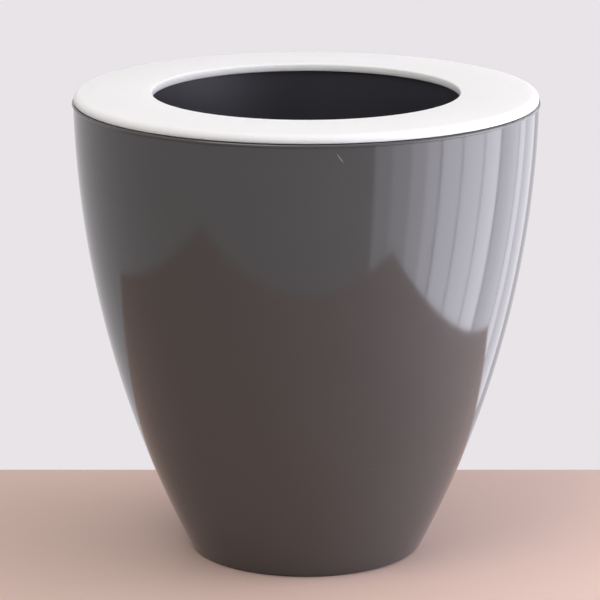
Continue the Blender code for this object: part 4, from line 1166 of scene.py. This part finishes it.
def drawn_stainless_wire(colour):
    """Stainless wire: bright, with draw lines along the pin, drawn 0.3 mm apart so that they show."""
    sockets = {"Metallic": 1.0, "Base Color": (*colour, 1.0)}
    material, add, shader, place = new_material("drawn_stainless_wire", sockets)
    drawn = {"Scale": (1 / 0.0003, 1 / 0.006, 1 / 0.0003)}
    stretched = add("Mapping", drawn, place)
    noise = {"Scale": 1.0, "Detail": 2.0}
    lines = add("TexNoise", noise, [("Vector", stretched, "Vector")])
    gloss = add("MapRange", {"To Min": 0.18, "To Max": 0.38}, [("Value", lines, "Fac")])
    connect(shader, ("Roughness", gloss, "Result"))
    return material


def painted_board(colour):
    """Pale painted board under the planter: matte, with faint roller marks."""
    look = {"cloud": 0.200, "shade": 0.015, "roughness": (0.55, 0.70), "grain": 0.0030, "depth": 0.00005}
    return grained_plastic("painted_board", colour, {}, **look)


# Material and colour setting of each slot
FINISHES = {
    "pot_grey": (gloss_moulded_abs, "pot"),
    "ring_white": (soft_gloss_white_abs, "ring"),
    "liner_dark": (satin_polypropylene, "liner"),
    "gauge_clear": (clear_moulded_polystyrene, "clear"),
    "float_pale": (closed_cell_foam, "foam"),
    "marker_red": (moulded_red_abs, "marker"),
    "pin_steel": (drawn_stainless_wire, "steel"),
    "seal_rubber": (moulded_nitrile, "rubber"),
}

# Stage; side panels are (near edge, far edge, share of the brightness)
BOARD_LOW = Vector((-0.555, -0.475, -0.0302))
BOARD_HIGH = Vector((0.40, 0.165, -0.0002))
BOARD_EDGE = 0.004
PANEL_X = 0.95
PANEL_HEIGHT = 1.50
PANEL_MIDDLE = 0.05
PANELS = (
    (-1.50, -1.10, 0.20),
    (-1.10, -0.80, 0.32),
    (-0.80, -0.60, 0.50),
    (-0.60, -0.45, 0.72),
    (-0.435, -0.22, 0.93),
    (-0.21, 0.02, 1.00),
    (0.03, 0.24, 1.00),
    (0.26, 0.62, 0.46),
    (0.64, 0.85, 0.50),
    (0.87, 1.70, 0.24),
)
OVERHEAD_PLACE = Vector((0.0, -0.2, 1.70))
OVERHEAD_SIZE = 1.40
FILL_PLACE = Vector((-1.0, -1.3, 2.2))
FILL_SIZE = 1.60
FILL_TARGET = Vector((0.0, 0.0, 0.25))
DAYLIGHT = linear("#f3f2ff")
SOFT_WHITE = linear("#fffdfa")
CAMERA_PLACE = (0.0, -2.10, 0.691)
CAMERA_TILT = math.radians(75.94)
CAMERA_SHIFT = -0.0103
SENSOR = 36.0


class PLANTER_OT_stage(Operator):
    """Pale board, soft panels, white surroundings and camera"""

    bl_idname = "planter.stage"
    bl_label = "Stage"

    def execute(self, context):
        scene = context.scene
        stage = scene.planter_stage
        bm = bmesh.new()
        span = BOARD_HIGH - BOARD_LOW
        outline = [(0.0, 0.0), (span.x, 0.0), (span.x, span.y), (0.0, span.y)]
        corners = [BOARD_LOW + Vector((x, y, 0.0)) for x, y in outline]
        add_prism(bm, corners, (0.0, 0.0, span.z), BOARD_EDGE)
        board = solid("board", bm)
        board.data.materials.append(painted_board(stage.floor))
        for index, (near, far, share) in enumerate(PANELS):
            place = Vector((PANEL_X, (near + far) / 2, PANEL_MIDDLE))
            size = (far - near, PANEL_HEIGHT)
            facing = Vector((-1.0, 0.0, 0.0))
            add_panel(f"side_panel_{index}", place, size, facing, stage.window * share, DAYLIGHT)
        size = (OVERHEAD_SIZE, OVERHEAD_SIZE)
        facing = Vector((0.0, 0.0, -1.0))
        add_panel("overhead_panel", OVERHEAD_PLACE, size, facing, stage.overhead, SOFT_WHITE)
        size = (FILL_SIZE, FILL_SIZE)
        add_panel("fill_panel", FILL_PLACE, size, FILL_TARGET - FILL_PLACE, stage.fill, SOFT_WHITE)
        light_surroundings(scene, stage)
        camera = bpy.data.objects.new("camera", bpy.data.cameras.new("camera"))
        camera.location = CAMERA_PLACE
        camera.rotation_euler.x = CAMERA_TILT
        camera.data.sensor_width = SENSOR
        camera.data.lens = stage.lens
        camera.data.shift_x = CAMERA_SHIFT
        scene.collection.objects.link(camera)
        scene.camera = camera
        scene.view_settings.view_transform = "Standard"
        return {"FINISHED"}


def add_panel(name, place, size, facing, brightness, colour):
    """Soft rectangular lamp; brightness is its radiance, where the backdrop's is 1."""
    lamp = bpy.data.lights.new(name, "AREA")
    lamp.shape = "RECTANGLE"
    lamp.size, lamp.size_y = size
    lamp.energy = brightness * math.pi * size[0] * size[1]
    lamp.color = colour
    panel = bpy.data.objects.new(name, lamp)
    panel.location = place
    panel.rotation_euler = facing.to_track_quat("-Z", "Y").to_euler()
    bpy.context.scene.collection.objects.link(panel)


def light_surroundings(scene, stage):
    """Even light from all round, white to the camera and in reflections."""
    world = bpy.data.worlds.new("white_room")
    world.use_nodes = True
    add = partial(add_node, world.node_tree)
    path = add("LightPath")
    direct = [(0, path, "Is Camera Ray"), (1, path, "Is Glossy Ray")]
    seen = add("Math", (), direct, operation="MAXIMUM")
    clear = [(0, seen, "Value"), (1, path, "Is Transmission Ray")]
    through = add("Math", (), clear, operation="MAXIMUM")
    levels = {"To Min": stage.ambient, "To Max": 1.0}
    strength = add("MapRange", levels, [("Value", through, "Value")])
    background = world.node_tree.nodes["Background"]
    background.inputs["Color"].default_value = (*stage.backdrop, 1.0)
    connect(background, ("Strength", strength, "Result"))
    scene.world = world


PIECES = (
    PLANTER_OT_outer_pot,
    PLANTER_OT_cover_ring,
    PLANTER_OT_inner_pot,
    PLANTER_OT_wick_cups,
    PLANTER_OT_filler,
    PLANTER_OT_gauge,
    PLANTER_OT_drain,
    PLANTER_OT_lift_handles,
    PLANTER_OT_stage,
)


class PLANTER_PT_sidebar(Panel):
    """Sizes, colours and pieces of the planter"""

    bl_idname = "PLANTER_PT_sidebar"
    bl_label = "Self-watering planter"
    bl_space_type = "VIEW_3D"
    bl_region_type = "UI"
    bl_category = "Planter"

    def draw(self, context):
        for name, group in GROUPS.items():
            column = self.layout.column()
            for setting in group.__annotations__:
                column.prop(getattr(context.scene, name), setting)
        for piece in PIECES:
            self.layout.operator(piece.bl_idname)


GROUPS = {
    "planter_sizes": PlanterSizes,
    "planter_colours": PlanterColours,
    "planter_stage": PlanterStage,
}
CLASSES = (*GROUPS.values(), *PIECES, PLANTER_PT_sidebar)


def register():
    for kind in CLASSES:
        bpy.utils.register_class(kind)
    for name, group in GROUPS.items():
        setattr(bpy.types.Scene, name, PointerProperty(type=group))


def unregister():
    for name in GROUPS:
        delattr(bpy.types.Scene, name)
    for kind in reversed(CLASSES):
        bpy.utils.unregister_class(kind)


def main():
    register()
    bpy.ops.planter.outer_pot()
    bpy.ops.planter.cover_ring()
    bpy.ops.planter.inner_pot()
    bpy.ops.planter.wick_cups()
    bpy.ops.planter.filler()
    bpy.ops.planter.gauge()
    bpy.ops.planter.drain()
    bpy.ops.planter.lift_handles()
    bpy.ops.planter.stage()


if __name__ == "__main__":
    main()
